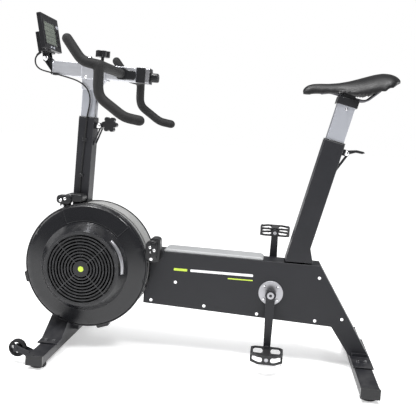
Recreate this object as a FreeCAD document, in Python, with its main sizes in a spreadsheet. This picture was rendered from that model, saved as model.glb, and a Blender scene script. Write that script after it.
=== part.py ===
"""Air-fan exercise bike: a parametric assembly of separate pieces, millimetres.

Front of the bike is -X, the rider's left is -Y, +Z is up.  The origin is on the
floor, under the middle of the bike's bounding box.
"""
import FreeCAD, Part
import math
import os
import Sketcher

DOC = FreeCAD.newDocument("exercise_bike")
SHEET = DOC.addObject("Spreadsheet::Sheet", "dims")

SIZES = {
    # crank and pedals
    "crank_x": 228.5, "crank_z": 228.0, "crank_length": 175.0,
    "crank_arm_width": 24.0, "crank_arm_thick": 13.0, "crank_inner_gap": 26.0,
    "axle_radius": 10.0, "run_gap": 0.05, "clear_gap": 0.3,
    "pedal_long": 101.0, "pedal_wide": 92.0, "pedal_thick": 28.0, "pedal_gap": 9.0,
    "spindle_radius": 6.0,
    # chassis
    "chassis_half": 44.5, "plate_wall": 3.0,
    "top_front": 338.0, "top_front_z": 333.0, "top_rear": 150.0, "top_rear_z": 327.0,
    "low_front": 411.0, "low_front_z": 160.0, "low_rear": 198.0, "low_rear_z": 134.0,
    "leg_front": 260.0, "leg_rear": 324.0, "flange_reach": 144.0, "flange_wall": 5.0,
    # cross bars and feet
    "bar_half_span": 305.0, "rear_bar_x": 295.0, "rear_bar_wide": 54.0,
    "front_bar_x": 677.0, "front_bar_wide": 49.0, "bar_deep": 28.0, "bar_top_z": 41.0,
    "bar_wall": 2.5, "cap_thick": 9.0, "foot_radius": 24.0, "foot_inset": 30.0,
    "front_leg_half": 190.0, "caster_radius": 26.0, "caster_wide": 18.0,
    "caster_ahead": 66.0, "caster_z": 48.0, "caster_y": 262.0, "caster_bolt": 4.0,
    # seat tube, seat post and saddle
    "seat_lean": 13.5, "seat_top_x": 163.0, "seat_top_z": 719.0,
    "seat_tube_long": 64.0, "seat_tube_wide": 88.0, "seat_tube_wall": 3.0,
    "seat_post_long": 55.0, "seat_post_wide": 60.0, "seat_post_wall": 3.0,
    "seat_post_up": 122.0, "seat_post_down": 255.0,
    "clamp_deep": 15.0, "clamp_long": 66.0, "clamp_skirt": 8.0, "rail_radius": 3.5,
    "saddle_travel": 20.0, "rail_spread": 22.0, "rail_bend": 30.0, "seat_way_z": 209.0,
    "rail_front_up": 25.0, "rail_rear_up": 39.0,
    "saddle_nose": 50.0, "saddle_tail": 349.0, "saddle_half_wide": 76.0,
    # front post and bar post
    "post_lean": 2.1, "post_top_x": 629.0, "post_top_z": 747.5,
    "post_long": 50.0, "post_wide": 56.0, "post_wall": 2.5,
    "bar_post_long": 42.0, "bar_post_wide": 46.0, "bar_post_wall": 3.0, "bar_post_down": 170.0,
    "slide_w": 148.0, "slide_tall": 44.0, "slide_wide": 50.0, "slide_wall": 3.0,
    "slide_front": 125.0, "slide_rear": 150.0, "collar_long": 42.0, "plug_long": 26.0,
    "sleeve_front": 28.0, "sleeve_rear": 52.0, "sleeve_wall": 4.0, "knob_radius": 23.0,
    # handlebar
    "grip_radius": 15.0, "bar_radius": 11.0, "bar_wall_thick": 2.5, "bar_u": 100.0,
    "bar_half": 282.0, "horn_knee": 46.0, "horn_tip": 94.0, "horn_rise": 68.0,
    "horn_bend": 34.0, "drop_fall": 84.0, "drop_knee": 76.0, "drop_low": 140.0,
    "drop_tip": 122.0, "drop_tip_low": 148.0, "drop_top_bend": 52.0, "drop_low_bend": 44.0,
    "grip_overhang": 6.0, "bore_stop": 9.0, "collar_lip": 1.5,
    # levers
    "lever_pin_radius": 4.0, "lever_out": 14.0, "lever_drop": 24.0, "ear_y": 12.0,
    "ear_wall": 4.0, "ear_radius": 10.0, "strut_reach": 60.0, "star_out": 32.0,
    "star_up": 8.0, "star_radius": 25.0,
    # fan housing
    "fan_x": 593.0, "fan_z": 277.0, "rim_radius": 198.0, "rim_y": 88.0, "far_rim_y": 42.0,
    "step_radius": 140.0, "step_y": 110.0, "grille_radius": 116.0, "grille_y": 147.0,
    "cover_wall": 3.0, "band_radius": 195.0, "band_front_y": 76.0, "band_wall": 2.0,
    "hub_disc_radius": 25.0, "fan_radius": 168.0, "vane_front_y": 70.0, "vane_back_y": 16.0,
    "fan_axle_radius": 8.5, "carrier_y": 33.0, "carrier_wall": 3.2,
    "damper_in": 100.0, "damper_out": 142.5, "damper_y": 96.0, "damper_wall": 2.5,
    # belt drive
    "crank_pulley_radius": 74.0, "small_pulley_radius": 22.0, "big_pulley_radius": 75.0,
    "fan_pulley_radius": 25.0, "jack_x": 264.0, "jack_z": 243.0,
    "belt_wide": 14.0, "belt_thick": 4.0, "first_belt_y": -16.0, "second_belt_y": 21.0,
    # monitor and lead
    "monitor_lean": 11.1, "pivot_u": 152.0, "pivot_w": 176.0, "monitor_half": 78.0,
    "monitor_tall": 110.0, "monitor_thick": 14.0, "monitor_lift": 22.0,
    "battery_thick": 22.0, "lead_radius": 2.4,
    # small shared sizes
    "bearing_hole": 20.0, "cover_front": 352.0, "cover_rear": 31.0, "cover_rise": 10.0,
    "gusset_drop": 342.0, "gusset_out": 60.0, "bush_deep": 34.0, "bush_lip": 2.5,
    "knob_u": 30.0, "knob_tall": 20.0, "knob_lift": 21.0, "knob_stem": 5.0, "boss_radius": 9.0,
    "skirt_deep": 34.0, "cap_lip": 1.0, "foot_edge": 3.0, "head_radius": 5.0, "head_tall": 3.0,
    "screw_radius": 3.2, "screw_tall": 2.0, "disc_thick": 3.5, "cup_deep": 12.0,
    "jack_radius": 8.0, "jack_block": 17.0, "jack_hub": 12.0, "pulley_lip": 3.0, "lip_thick": 2.0,
    "pulley_rim": 9.0, "pulley_hub": 20.0, "pulley_web": 3.0, "window_radius": 14.0,
    "pedal_rim": 7.0, "pedal_barrel": 14.0, "crank_cap_radius": 11.0, "crank_cap_thick": 3.0,
    "shoulder_radius": 8.5, "caster_hub": 10.0, "caster_tread": 8.0, "caster_dish": 3.0,
    "far_eye": 14.0, "disc_radius": 39.0, "screen_out": 26.0, "rear_bolt_y": 91.0,
    "front_bolt_y": 168.0,
}


def fill_sheet():
    """Write each size into the sheet as a plain number with its name as alias."""
    for row, (name, value) in enumerate(SIZES.items(), start=1):
        SHEET.set(f"A{row}", name)
        SHEET.set(f"B{row}", str(value))
        SHEET.setAlias(f"B{row}", name)
    DOC.recompute()


fill_sheet()


class Size:
    """A number that also carries the spreadsheet expression it comes from."""

    def __init__(self, value, text):
        self.value = value
        self.text = text

    def __add__(self, other):
        other = size(other)
        return Size(self.value + other.value, f"({self.text} + {other.text})")

    def __sub__(self, other):
        other = size(other)
        return Size(self.value - other.value, f"({self.text} - {other.text})")

    def __mul__(self, other):
        other = size(other)
        return Size(self.value * other.value, f"({self.text} * {other.text})")

    def __truediv__(self, other):
        other = size(other)
        return Size(self.value / other.value, f"({self.text} / {other.text})")

    def __neg__(self):
        return Size(-self.value, f"(0 - {self.text})")

    def __radd__(self, other):
        return size(other) + self

    def __rsub__(self, other):
        return size(other) - self

    def __rmul__(self, other):
        return size(other) * self


def size(thing):
    """Turn a plain number into a Size; a Size is returned as it is."""
    if isinstance(thing, Size):
        return thing
    return Size(float(thing), f"({float(thing):.6f})")


def sine(angle):
    angle = size(angle)
    return Size(math.sin(math.radians(angle.value)), f"sin({angle.text})")


def cosine(angle):
    angle = size(angle)
    return Size(math.cos(math.radians(angle.value)), f"cos({angle.text})")


class Dims:
    """Reads the sheet: D.name is the size called name."""

    def __getattr__(self, name):
        return Size(float(SHEET.get(name)), "dims." + name)


D = Dims()
NODES = []


# ---------------------------------------------------------------- helpers
def bind(thing, **properties):
    """Bind properties of a document object to sizes."""
    for name, value in properties.items():
        thing.setExpression(name, size(value).text)
    return thing


def put(thing, x, y, z, turn_axis=None, turn=0.0):
    """Place an object, its position bound to sizes and its turn too."""
    if turn_axis is not None:
        rotation = FreeCAD.Rotation(FreeCAD.Vector(*turn_axis), size(turn).value)
        thing.Placement = FreeCAD.Placement(FreeCAD.Vector(0, 0, 0), rotation)
        if isinstance(turn, Size):
            thing.setExpression("Placement.Rotation.Angle", turn.text)
    for letter, value in zip("xyz", (x, y, z)):
        thing.setExpression("Placement.Base." + letter, size(value).text)
    return thing


def box(x0, x1, y0, y1, z0, z1):
    """A block between two corners."""
    block = DOC.addObject("Part::Box", "block")
    bind(block, Length=size(x1) - x0, Width=size(y1) - y0, Height=size(z1) - z0)
    return put(block, x0, y0, z0)


TURNS = {"X": ((0, 1, 0), 90.0), "Y": ((1, 0, 0), -90.0), "Z": (None, 0.0)}


def rod(radius, length, x, y, z, axis="Z"):
    """A cylinder that starts at a point and runs along +axis."""
    cylinder = DOC.addObject("Part::Cylinder", "rod")
    bind(cylinder, Radius=radius, Height=length)
    turn_axis, turn = TURNS[axis]
    return put(cylinder, x, y, z, turn_axis, turn)


def cut(base, *tools):
    """The base without the tools."""
    for tool in tools:
        result = DOC.addObject("Part::Cut", "cut")
        result.Base = base
        result.Tool = tool
        base = result
    return base


def fuse(*parts):
    """One solid from several that overlap or share faces."""
    result = DOC.addObject("Part::MultiFuse", "fuse")
    result.Shapes = list(parts)
    result.Refine = True
    return result


def common(*parts):
    """What several solids share."""
    result = DOC.addObject("Part::MultiCommon", "common")
    result.Shapes = list(parts)
    return result


def group(*parts):
    """Separate solids that belong to one node."""
    result = DOC.addObject("Part::Compound", "group")
    result.Links = list(parts)
    return result


def node(name, thing):
    """Register a finished piece under the name of its file."""
    thing.Label = name
    NODES.append(thing)
    return thing


def origin_plane(body, role):
    return next(f for f in body.Origin.OriginFeatures if f.Role == role)


def outline(body, role, corners):
    """A closed sketch through corners, each corner held by two bound distances."""
    sketch = body.newObject("Sketcher::SketchObject", "outline")
    sketch.AttachmentSupport = (origin_plane(body, role), [""])
    sketch.MapMode = "FlatFace"
    corners = [(size(a), size(b)) for a, b in corners]
    points = [FreeCAD.Vector(a.value, b.value, 0) for a, b in corners]
    count = len(points)
    for i in range(count):
        sketch.addGeometry(Part.LineSegment(points[i], points[(i + 1) % count]), False)
    for i in range(count):
        sketch.addConstraint(Sketcher.Constraint("Coincident", i, 2, (i + 1) % count, 1))
    for i, pair in enumerate(corners):
        for kind, value in zip(("DistanceX", "DistanceY"), pair):
            index = sketch.addConstraint(Sketcher.Constraint(kind, -1, 1, i, 1, value.value))
            sketch.setExpression(f"Constraints[{index}]", value.text)
    return sketch


def slab(corners, y_middle, thickness):
    """A plate with an outline in X and Z, centred on y_middle."""
    body = DOC.addObject("PartDesign::Body", "slab")
    sketch = outline(body, "XZ_Plane", corners)
    pad = body.newObject("PartDesign::Pad", "pad")
    pad.Profile = sketch
    pad.Midplane = True
    bind(pad, Length=thickness)
    return put(body, 0, y_middle, 0)


def turned(corners, x, y, z, axis="Y"):
    """A solid of revolution: corners are (radius, distance along the axis)."""
    body = DOC.addObject("PartDesign::Body", "turned")
    role = {"Y": "XY_Plane", "Z": "XZ_Plane"}[axis]
    sketch = outline(body, role, corners)
    revolution = body.newObject("PartDesign::Revolution", "revolution")
    revolution.Profile = sketch
    revolution.ReferenceAxis = (sketch, ["V_Axis"])
    revolution.Angle = 360.0
    return put(body, x, y, z)


def spoke(inner, outer, y0, y1, thick, angle):
    """A block that points away from the Y axis, turned by angle about it."""
    block = DOC.addObject("Part::Box", "spoke")
    bind(block, Length=size(outer) - inner, Width=size(y1) - y0, Height=thick)
    half = size(thick) / 2
    x = size(inner) * cosine(angle) - half * sine(angle)
    z = -(size(inner) * sine(angle)) - half * cosine(angle)
    return put(block, x, y0, z, (0, 1, 0), angle)


def around(x, z, radius, angle):
    """A point at radius and angle, counted from +X towards +Z."""
    return x + radius * cosine(angle), z + radius * sine(angle)


def rounded_path(points, radii):
    """Straight runs joined by tangent arcs of the given radii."""
    edges = []
    start = points[0]
    for i in range(1, len(points) - 1):
        into = (points[i] - points[i - 1]).normalize()
        away = (points[i + 1] - points[i]).normalize()
        turn = into.getAngle(away)
        setback = radii[i - 1] * math.tan(turn / 2)
        first = points[i] - into * setback
        last = points[i] + away * setback
        inward = (away - into).normalize()
        centre = points[i] + inward * (radii[i - 1] / math.cos(turn / 2))
        middle = centre - inward * radii[i - 1]
        edges.append(Part.LineSegment(start, first).toShape())
        edges.append(Part.Arc(first, middle, last).toShape())
        start = last
    edges.append(Part.LineSegment(start, points[-1]).toShape())
    return Part.Wire(edges)


def tube_shape(points, radii, radius, bore=0.0):
    """A round tube, or a bar when bore is 0, along a rounded path."""
    path = rounded_path(points, radii)
    ahead = points[1] - points[0]
    ring = Part.Wire(Part.makeCircle(radius, points[0], ahead))
    solid = path.makePipeShell([ring], True, False)
    if bore > 0:
        hole = Part.Wire(Part.makeCircle(bore, points[0], ahead))
        solid = solid.cut(path.makePipeShell([hole], True, False))
    return solid


def feature(shape):
    """A piece whose form neither sketches nor primitives give."""
    thing = DOC.addObject("Part::Feature", "free_form")
    thing.Shape = shape
    return thing


def vectors(points):
    return [FreeCAD.Vector(size(a).value, size(b).value, size(c).value) for a, b, c in points]


# ---------------------------------------------------------------- frames
SEAT_X = D.crank_x + D.seat_top_x
POST_X = D.crank_x - D.post_top_x
FAN_X = D.crank_x - D.fan_x
JACK_X = D.crank_x - D.jack_x


def seat_frame(thing):
    """Stand a piece made upright at the origin on the leaning seat tube's top."""
    return put(thing, SEAT_X, 0, D.seat_top_z, (0, 1, 0), D.seat_lean)


def post_frame(thing):
    """Stand a piece made upright at the origin on the front post's top."""
    return put(thing, POST_X, 0, D.post_top_z, (0, 1, 0), D.post_lean)


def post_point(u, w):
    """World X and Z of a point given along and up the front post."""
    x = POST_X + u * cosine(D.post_lean) + w * sine(D.post_lean)
    z = D.post_top_z - u * sine(D.post_lean) + w * cosine(D.post_lean)
    return x, z


def fan_frame(thing):
    """Put a piece made about the Y axis at the fan's centre."""
    return put(thing, FAN_X, 0, D.fan_z)


def fan_space(radius):
    """A round block about the fan's axle, to cut what stands beside the housing."""
    long = 4 * D.rim_radius
    return rod(radius, long, FAN_X, -2 * D.rim_radius, D.fan_z, "Y")


def hollow(x0, x1, y0, y1, z0, z1, wall):
    """A rectangular tube along Z."""
    outer = box(x0, x1, y0, y1, z0, z1)
    inner = box(x0 + wall, x1 - wall, y0 + wall, y1 - wall, z0 - wall, z1 + wall)
    return cut(outer, inner)


# ---------------------------------------------------------------- chassis
def chassis():
    """Two side plates with their rear legs, the webs between them, top cover."""
    gap = D.clear_gap
    slope = (D.top_front_z - D.top_rear_z) / (D.top_front + D.top_rear)
    left_x = D.crank_x - D.low_front
    corners = [
        (left_x, D.low_front_z),
        (left_x, D.top_front_z),
        (D.crank_x - D.top_front, D.top_front_z),
        (D.crank_x + D.top_rear, D.top_rear_z),
        (D.crank_x + D.leg_rear, D.bar_top_z + D.flange_wall),
        (D.crank_x + D.leg_front, D.bar_top_z + D.flange_wall),
        (D.crank_x + D.low_rear, D.low_rear_z),
    ]
    for name, side in (("left_side_plate", -1), ("right_side_plate", 1)):
        middle = side * (D.chassis_half - D.plate_wall / 2)
        plate = slab(corners, middle, D.plate_wall)
        eye = rod(D.bearing_hole, 4 * D.chassis_half, D.crank_x, -2 * D.chassis_half,
                  D.crank_z, "Y")
        near = fan_space(D.rim_radius + gap * 4)
        node(name, cut(plate, eye, near))
    inner = D.chassis_half - D.plate_wall
    web = slab(corners, 0, 2 * inner)
    t = D.plate_wall
    hole = [
        (left_x + t, D.low_front_z + t),
        (left_x + t, D.top_front_z - t),
        (D.crank_x - D.top_front, D.top_front_z - t),
        (D.crank_x + D.top_rear - t, D.top_rear_z - t),
        (D.crank_x + D.leg_rear - t * 1.4, D.bar_top_z + D.flange_wall + t),
        (D.crank_x + D.leg_front + t, D.bar_top_z + D.flange_wall + t),
        (D.crank_x + D.low_rear + t * 0.5, D.low_rear_z + t),
    ]
    inside = slab(hole, 0, 4 * inner)
    near = fan_space(D.rim_radius + gap * 4)
    seat_way = seat_frame(group(box(
        -D.seat_tube_long / 2, D.seat_tube_long / 2, -inner * 2, inner * 2,
        D.seat_way_z - D.seat_top_z, 0)))
    low = D.top_front_z - 3 * D.plate_wall
    mouth = box(left_x - 10, left_x + 60, -inner * 2, inner * 2, D.low_front_z + t, low)
    node("chassis_web", cut(web, inside, near, mouth, seat_way))
    strip_front = D.crank_x - D.cover_front
    strip_rear = D.crank_x - D.cover_rear
    base_front = D.top_front_z + gap
    fall = slope * (D.cover_front - D.cover_rear)
    strip = slab([
        (strip_front, base_front),
        (strip_front, base_front + D.cover_rise / 2),
        (strip_front + D.cover_rise, base_front + D.cover_rise),
        (strip_rear - D.cover_rise, base_front - fall + D.cover_rise),
        (strip_rear, base_front - fall + D.cover_rise / 2),
        (strip_rear, base_front - fall),
    ], 0, 2 * D.chassis_half - 8)
    node("top_cover", cut(strip, fan_space(D.rim_radius + gap * 8)))


def rear_flanges():
    """Feet of the rear leg, bolted flat on the rear cross bar."""
    x0 = D.crank_x + D.rear_bar_x - D.rear_bar_wide / 2 - 4
    x1 = x0 + D.rear_bar_wide + 8
    z0 = D.bar_top_z
    parts = [box(x0, x1, -D.flange_reach, D.flange_reach, z0, z0 + D.flange_wall)]
    for side in (-1, 1):
        y0 = side * (D.chassis_half + D.flange_wall / 2) - D.flange_wall / 2
        toe = box(x0 + 4, x1 - 6, y0, y0 + D.flange_wall, z0, z0 + 16)
        parts.append(toe)
    node("rear_leg_flange", fuse(*parts))


def cross_bars():
    """Front and rear cross bars: hollow tubes, end caps and feet."""
    caps = []
    feet = []
    low = D.bar_top_z - D.bar_deep
    for name, x, wide in (
        ("rear_crossbar", D.crank_x + D.rear_bar_x, D.rear_bar_wide),
        ("front_crossbar", D.crank_x - D.front_bar_x, D.front_bar_wide),
    ):
        end = D.bar_half_span - D.cap_thick
        wall = D.bar_wall
        outer = box(x - wide / 2, x + wide / 2, -end, end, low, D.bar_top_z)
        inner = box(x - wide / 2 + wall, x + wide / 2 - wall, -end - wall, end + wall,
                    low + wall, D.bar_top_z - wall)
        node(name, cut(outer, inner))
        for side in (-1, 1):
            y = side * (end + D.cap_thick / 2) - D.cap_thick / 2
            lip = D.cap_lip
            caps.append(box(x - wide / 2 - lip, x + wide / 2 + lip, y, y + D.cap_thick,
                            low - lip, D.bar_top_z + lip))
            foot_y = side * (end - D.foot_inset)
            edge = D.foot_edge
            feet.append(turned([
                (0, 0), (D.foot_radius - 2, 0), (D.foot_radius, edge),
                (D.foot_radius, low - edge), (D.foot_radius - edge, low), (0, low),
            ], x, foot_y, 0, "Z"))
    node("end_caps", group(*caps))
    node("feet", group(*feet))


def front_leg(carrier):
    """Flared front leg: a narrow column from the housing, wide on the cross bar."""
    x0 = D.crank_x - D.front_bar_x - D.front_bar_wide / 2 - 8
    x1 = x0 + D.front_bar_wide + 14
    z0 = D.bar_top_z
    wide = DOC.addObject("Part::Wedge", "flare")
    bind(wide, Xmin=x0, Xmax=x1, X2min=x0, X2max=x1 - 2)
    half = D.front_leg_half - 40
    bind(wide, Ymin=0, Ymax=60, Zmin=-half, Zmax=half)
    bind(wide, Z2min=-D.chassis_half, Z2max=D.chassis_half)
    put(wide, 0, 0, z0 + D.flange_wall, (1, 0, 0), 90.0)
    foot = box(x0, x1, -D.front_leg_half, D.front_leg_half, z0, z0 + D.flange_wall)
    column = box(x0, x1 + 20, -D.carrier_y, D.carrier_y, z0 + D.flange_wall,
                 D.fan_z - 60)
    solid = fuse(wide, foot, column)
    clear = D.rim_radius + D.clear_gap
    far_side = rod(clear, 100, FAN_X, D.carrier_y + D.carrier_wall, D.fan_z, "Y")
    near_side = rod(clear, 100, FAN_X, -D.band_front_y - 100 + D.clear_gap, D.fan_z, "Y")
    hoop = fan_space(D.band_radius + D.clear_gap)
    node("front_leg", cut(solid, hoop, far_side, near_side, carrier))


# ---------------------------------------------------------------- seat tube
def seat_tube():
    """Leaning rectangular seat tube with its rear gusset, open for the post."""
    half_long = D.seat_tube_long / 2
    half_wide = D.seat_tube_wide / 2
    wall = D.seat_tube_wall
    reach = D.seat_top_z - D.seat_way_z - 50
    outer = box(-half_long, half_long, -half_wide, half_wide, -reach, 0)
    gusset = slab([
        (half_long - wall, -D.gusset_drop),
        (half_long, -D.gusset_drop),
        (half_long + D.gusset_out, -reach),
        (half_long - wall, -reach),
    ], 0, D.seat_tube_wide)
    shell = seat_frame(fuse(outer, gusset))
    bore = box(-half_long + wall, half_long - wall, -half_wide + wall, half_wide - wall,
               -reach - 1, 1)
    pocket = slab([
        (half_long + wall * 0.4, -D.gusset_drop - 30),
        (half_long + D.gusset_out - wall * 2, -reach - 1),
        (half_long + wall * 0.4, -reach - 1),
    ], 0, D.seat_tube_wide - 2 * wall)
    floor = box(SEAT_X - 400, SEAT_X + 400, -200, 200, 0, D.top_front_z + D.clear_gap)
    solid = cut(shell, seat_frame(group(bore)), seat_frame(group(pocket)), floor)
    node("seat_tube", solid)


def posts():
    """The two sliding posts, the guide bushes they run in, the front post."""
    half_long = D.post_long / 2
    half_wide = D.post_wide / 2
    wall = D.post_wall
    outer = box(-half_long, half_long, -half_wide, half_wide, -D.post_top_z, 0)
    inner = box(-half_long + wall, half_long - wall, -half_wide + wall, half_wide - wall,
                -D.post_top_z, 1)
    tube = post_frame(cut(outer, inner))
    node("front_post", cut(tube, fan_space(D.band_radius + D.clear_gap),
                           box(POST_X - 300, POST_X + 300, -200, 200, -600, D.fan_z)))
    gap = D.clear_gap
    bushes = []
    for frame, tube_long, tube_wide, tube_wall, post_long, post_wide in (
        (seat_frame, D.seat_tube_long, D.seat_tube_wide, D.seat_tube_wall,
         D.seat_post_long, D.seat_post_wide),
        (post_frame, D.post_long, D.post_wide, D.post_wall,
         D.bar_post_long, D.bar_post_wide),
    ):
        a = tube_long / 2 - tube_wall
        b = tube_wide / 2 - tube_wall
        c = post_long / 2 + gap
        d = post_wide / 2 + gap
        block = box(-a, a, -b, b, -D.bush_deep, 0)
        lip = box(-a - tube_wall, a + tube_wall, -b - tube_wall, b + tube_wall, 0, D.bush_lip)
        hole = box(-c, c, -d, d, -D.bush_deep - 1, D.bush_lip + 1)
        bushes.append(frame(cut(fuse(block, lip), hole)))
    node("post_bushes", group(*bushes))
    a = D.seat_post_long / 2
    b = D.seat_post_wide / 2
    post = hollow(-a, a, -b, b, -D.seat_post_down, D.seat_post_up, D.seat_post_wall)
    node("seat_post", seat_frame(post))
    a = D.bar_post_long / 2
    b = D.bar_post_wide / 2
    top = D.slide_w - D.slide_tall / 2 - D.sleeve_wall - gap
    post = hollow(-a, a, -b, b, -D.bar_post_down, top, D.bar_post_wall)
    node("bar_post", post_frame(post))


# ---------------------------------------------------------------- saddle
def saddle():
    """Clamp head on the post, two rails, and the saddle's soft body."""
    a = D.clamp_long / 2
    b = D.seat_post_wide / 2 + 6
    z0 = D.seat_post_up
    head = box(-a, a, -b, b, z0, z0 + D.clamp_deep)
    skirt = box(-a, a, -b, b, z0 - D.clamp_skirt, z0)
    space = box(-D.seat_post_long / 2, D.seat_post_long / 2, -D.seat_post_wide / 2,
                D.seat_post_wide / 2, z0 - D.clamp_skirt - 1, z0)
    rail_z = z0 + D.clamp_deep + D.rail_radius + 2
    cheeks = box(-a * 0.55, a * 0.55, -D.rail_spread - 9, D.rail_spread + 9,
                 z0 + D.clamp_deep, rail_z + D.rail_radius + 4)
    grooves = [
        rod(D.rail_radius + D.clear_gap, 4 * a, -2 * a, side * D.rail_spread, rail_z, "X")
        for side in (-1, 1)
    ]
    node("saddle_clamp", seat_frame(cut(fuse(head, skirt, cheeks), space, *grooves)))


def saddle_body():
    """Rails in the clamp's own frame, and the padded shell lofted through ovals."""
    sin_lean = math.sin(math.radians(D.seat_lean.value))
    cos_lean = math.cos(math.radians(D.seat_lean.value))
    rail_w = (D.seat_post_up + D.clamp_deep + D.rail_radius + 2).value

    def world(u, w):
        x = SEAT_X.value + u * cos_lean + w * sin_lean
        z = D.seat_top_z.value - u * sin_lean + w * cos_lean
        return x, z

    spread = D.rail_spread.value
    base = (D.seat_top_z + D.seat_post_up).value
    rails = []
    x0 = D.crank_x.value + D.saddle_nose.value
    for side in (-1, 1):
        ax, az = world(-58, rail_w)
        bx, bz = world(52, rail_w)
        route = [
            FreeCAD.Vector(x0 + 62, side * 9, base + D.rail_front_up.value),
            FreeCAD.Vector(ax, side * spread, az),
            FreeCAD.Vector(bx, side * spread, bz),
            FreeCAD.Vector(bx + 40, side * (spread + 12), base + D.rail_rear_up.value),
        ]
        rails.append(feature(tube_shape(route, [D.rail_bend.value] * 2, D.rail_radius.value)))
    node("saddle_rails", group(*rails))

    length = (D.saddle_tail - D.saddle_nose).value
    half = D.saddle_half_wide.value
    # share of the length, share of the half width, top and bottom above the post's head
    stations = (
        (0.00, 0.17, 33.0, 7.0),
        (0.10, 0.25, 52.0, 11.0),
        (0.28, 0.30, 56.0, 23.0),
        (0.48, 0.42, 63.0, 27.0),
        (0.64, 0.78, 80.0, 23.0),
        (0.80, 1.00, 94.0, 35.0),
        (0.93, 0.92, 93.0, 55.0),
        (1.00, 0.66, 81.0, 65.0),
    )
    facets = 16
    rings = []
    for along, wide, top, bottom in stations:
        x = x0 + along * length
        middle = base + (top + bottom) / 2
        tall = (top - bottom) / 2
        points = []
        for step in range(facets):
            angle = 2 * math.pi * step / facets
            y = half * wide * math.cos(angle)
            z = middle + tall * math.sin(angle)
            points.append(FreeCAD.Vector(x, y, z))
        curve = Part.BSplineCurve()
        curve.interpolate(points, PeriodicFlag=True)
        rings.append(Part.Wire(curve.toShape()))
    body = feature(Part.makeLoft(rings, True, False))
    node("saddle", cut(body, saddle_space(rails)))


def saddle_space(rails):
    """Room for the rails and the clamp under the saddle."""
    a = D.clamp_long / 2 + D.saddle_travel + 3
    low = D.seat_post_up
    block = box(-a, a, -D.rail_spread - 14, D.rail_spread + 14, low, low + D.clamp_deep + 16)
    slots = []
    for rail in rails:
        slots.append(feature(rail.Shape.makeOffsetShape(1.0, 0.01, fill=False)))
    return fuse(seat_frame(group(block)), *slots)


# ---------------------------------------------------------------- handlebar
def handlebar():
    """Slide sleeve, sliding tube, bent bars with foam grips, knobs."""
    gap = D.clear_gap
    a = D.slide_wide / 2
    h = D.slide_tall / 2
    s = D.sleeve_wall
    w = D.slide_w
    shell = box(-D.sleeve_front, D.sleeve_rear, -a - gap - s, a + gap + s,
                w - h - gap - s, w + h + gap + s)
    way = box(-D.sleeve_front - 1, D.sleeve_rear + 1, -a - gap, a + gap, w - h - gap,
              w + h + gap)
    b = D.bar_post_long / 2
    c = D.bar_post_wide / 2
    under = w - h - gap - s
    skirt = box(-b - s, b + s, -c - s, c + s, under - D.skirt_deep, under)
    socket = box(-b, b, -c, c, under - D.skirt_deep - 1, under)
    gusset = slab([
        (b + s - 1, under),
        (b + s - 1, under - D.skirt_deep),
        (D.sleeve_rear - 2, under),
    ], 0, 2 * s)
    boss = rod(D.boss_radius, 6, D.knob_u, 0, w + h + gap + s - 1)
    hole = rod(D.knob_stem + D.run_gap, 40, D.knob_u, 0, w)
    node("slide_sleeve", post_frame(cut(fuse(shell, skirt, gusset, boss), way, socket, hole)))

    tube_outer = box(-D.slide_front, D.slide_rear, -a, a, w - h, w + h)
    wall = D.slide_wall
    tube_inner = box(-D.slide_front - 1, D.slide_rear + 1, -a + wall, a - wall, w - h + wall,
                     w + h - wall)
    cross = rod(D.bar_radius, 4 * a, D.bar_u, -2 * a, w, "Y")
    node("slide_tube", post_frame(cut(tube_outer, tube_inner, cross)))
    lip = D.collar_lip
    collar = box(D.slide_rear, D.slide_rear + D.collar_long, -a - lip, a + lip, w - h - lip,
                 w + h + lip)
    tail = rod(h * 0.55, D.plug_long, D.slide_rear + D.collar_long, 0, w - 4, "X")
    node("slide_end_cap", post_frame(fuse(collar, tail)))

    knob_z = w + h + gap + s + D.knob_lift
    stem = rod(D.knob_stem, knob_z - w - h - 1, D.knob_u, 0, w + h + 1)
    parts = [stem] + star(D.knob_radius, D.knob_tall, D.knob_u, size(0), knob_z, "Z")
    node("sleeve_knob", post_frame(fuse(*parts)))


def bars():
    """The bent steel bar and the two foam grips along it."""
    u = D.bar_u
    w = D.slide_w
    x, z = post_point(u, w)
    x, z = x.value, z.value
    half = D.bar_half.value
    radius = D.grip_radius.value
    core = D.bar_radius.value
    hollow_radius = core - D.bar_wall_thick.value
    horn_bends = [D.horn_bend.value] * 2
    drop_bends = [D.drop_top_bend.value, D.drop_low_bend.value]
    lip = D.grip_overhang.value
    stop = D.bore_stop.value
    grips = []
    steel = []
    bores = []
    a = D.slide_wide.value / 2 + 2
    for name, side in (("left_grip", -1), ("right_grip", 1)):
        horn = vectors([
            (x, side * a, z),
            (x, side * (half - 4), z),
            (x - D.horn_knee.value, side * (half + 1), z + 7),
            (x - D.horn_tip.value, side * half, z + D.horn_rise.value),
        ])
        drop = vectors([
            (x, side * half, z),
            (x, side * half, z - D.drop_fall.value),
            (x + D.drop_knee.value, side * (half - 3), z - D.drop_low.value),
            (x + D.drop_tip.value, side * (half - 8), z - D.drop_tip_low.value),
        ])
        top = tube_shape(horn, horn_bends, radius)
        low = tube_shape(drop, drop_bends, radius)
        steel_horn = tube_shape(trimmed(horn, lip), horn_bends, core)
        steel_drop = tube_shape(trimmed(drop, lip), drop_bends, core)
        bores.append(tube_shape(trimmed(horn, stop), horn_bends, hollow_radius))
        bores.append(tube_shape(trimmed(drop, stop), drop_bends, hollow_radius))
        steel.append(steel_horn.fuse(steel_drop))
        foam = top.fuse(low).cut(steel_horn).cut(steel_drop)
        grips.append((name, foam))
    middle = Part.makeCylinder(core, 2 * a, FreeCAD.Vector(x, -a, z),
                               FreeCAD.Vector(0, 1, 0))
    hole = Part.makeCylinder(hollow_radius, 2 * a,
                             FreeCAD.Vector(x, -a, z), FreeCAD.Vector(0, 1, 0))
    whole = middle.fuse(steel).cut([hole] + bores).removeSplitter()
    node("handlebar", feature(whole))
    for name, foam in grips:
        node(name, feature(foam.removeSplitter()))


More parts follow.
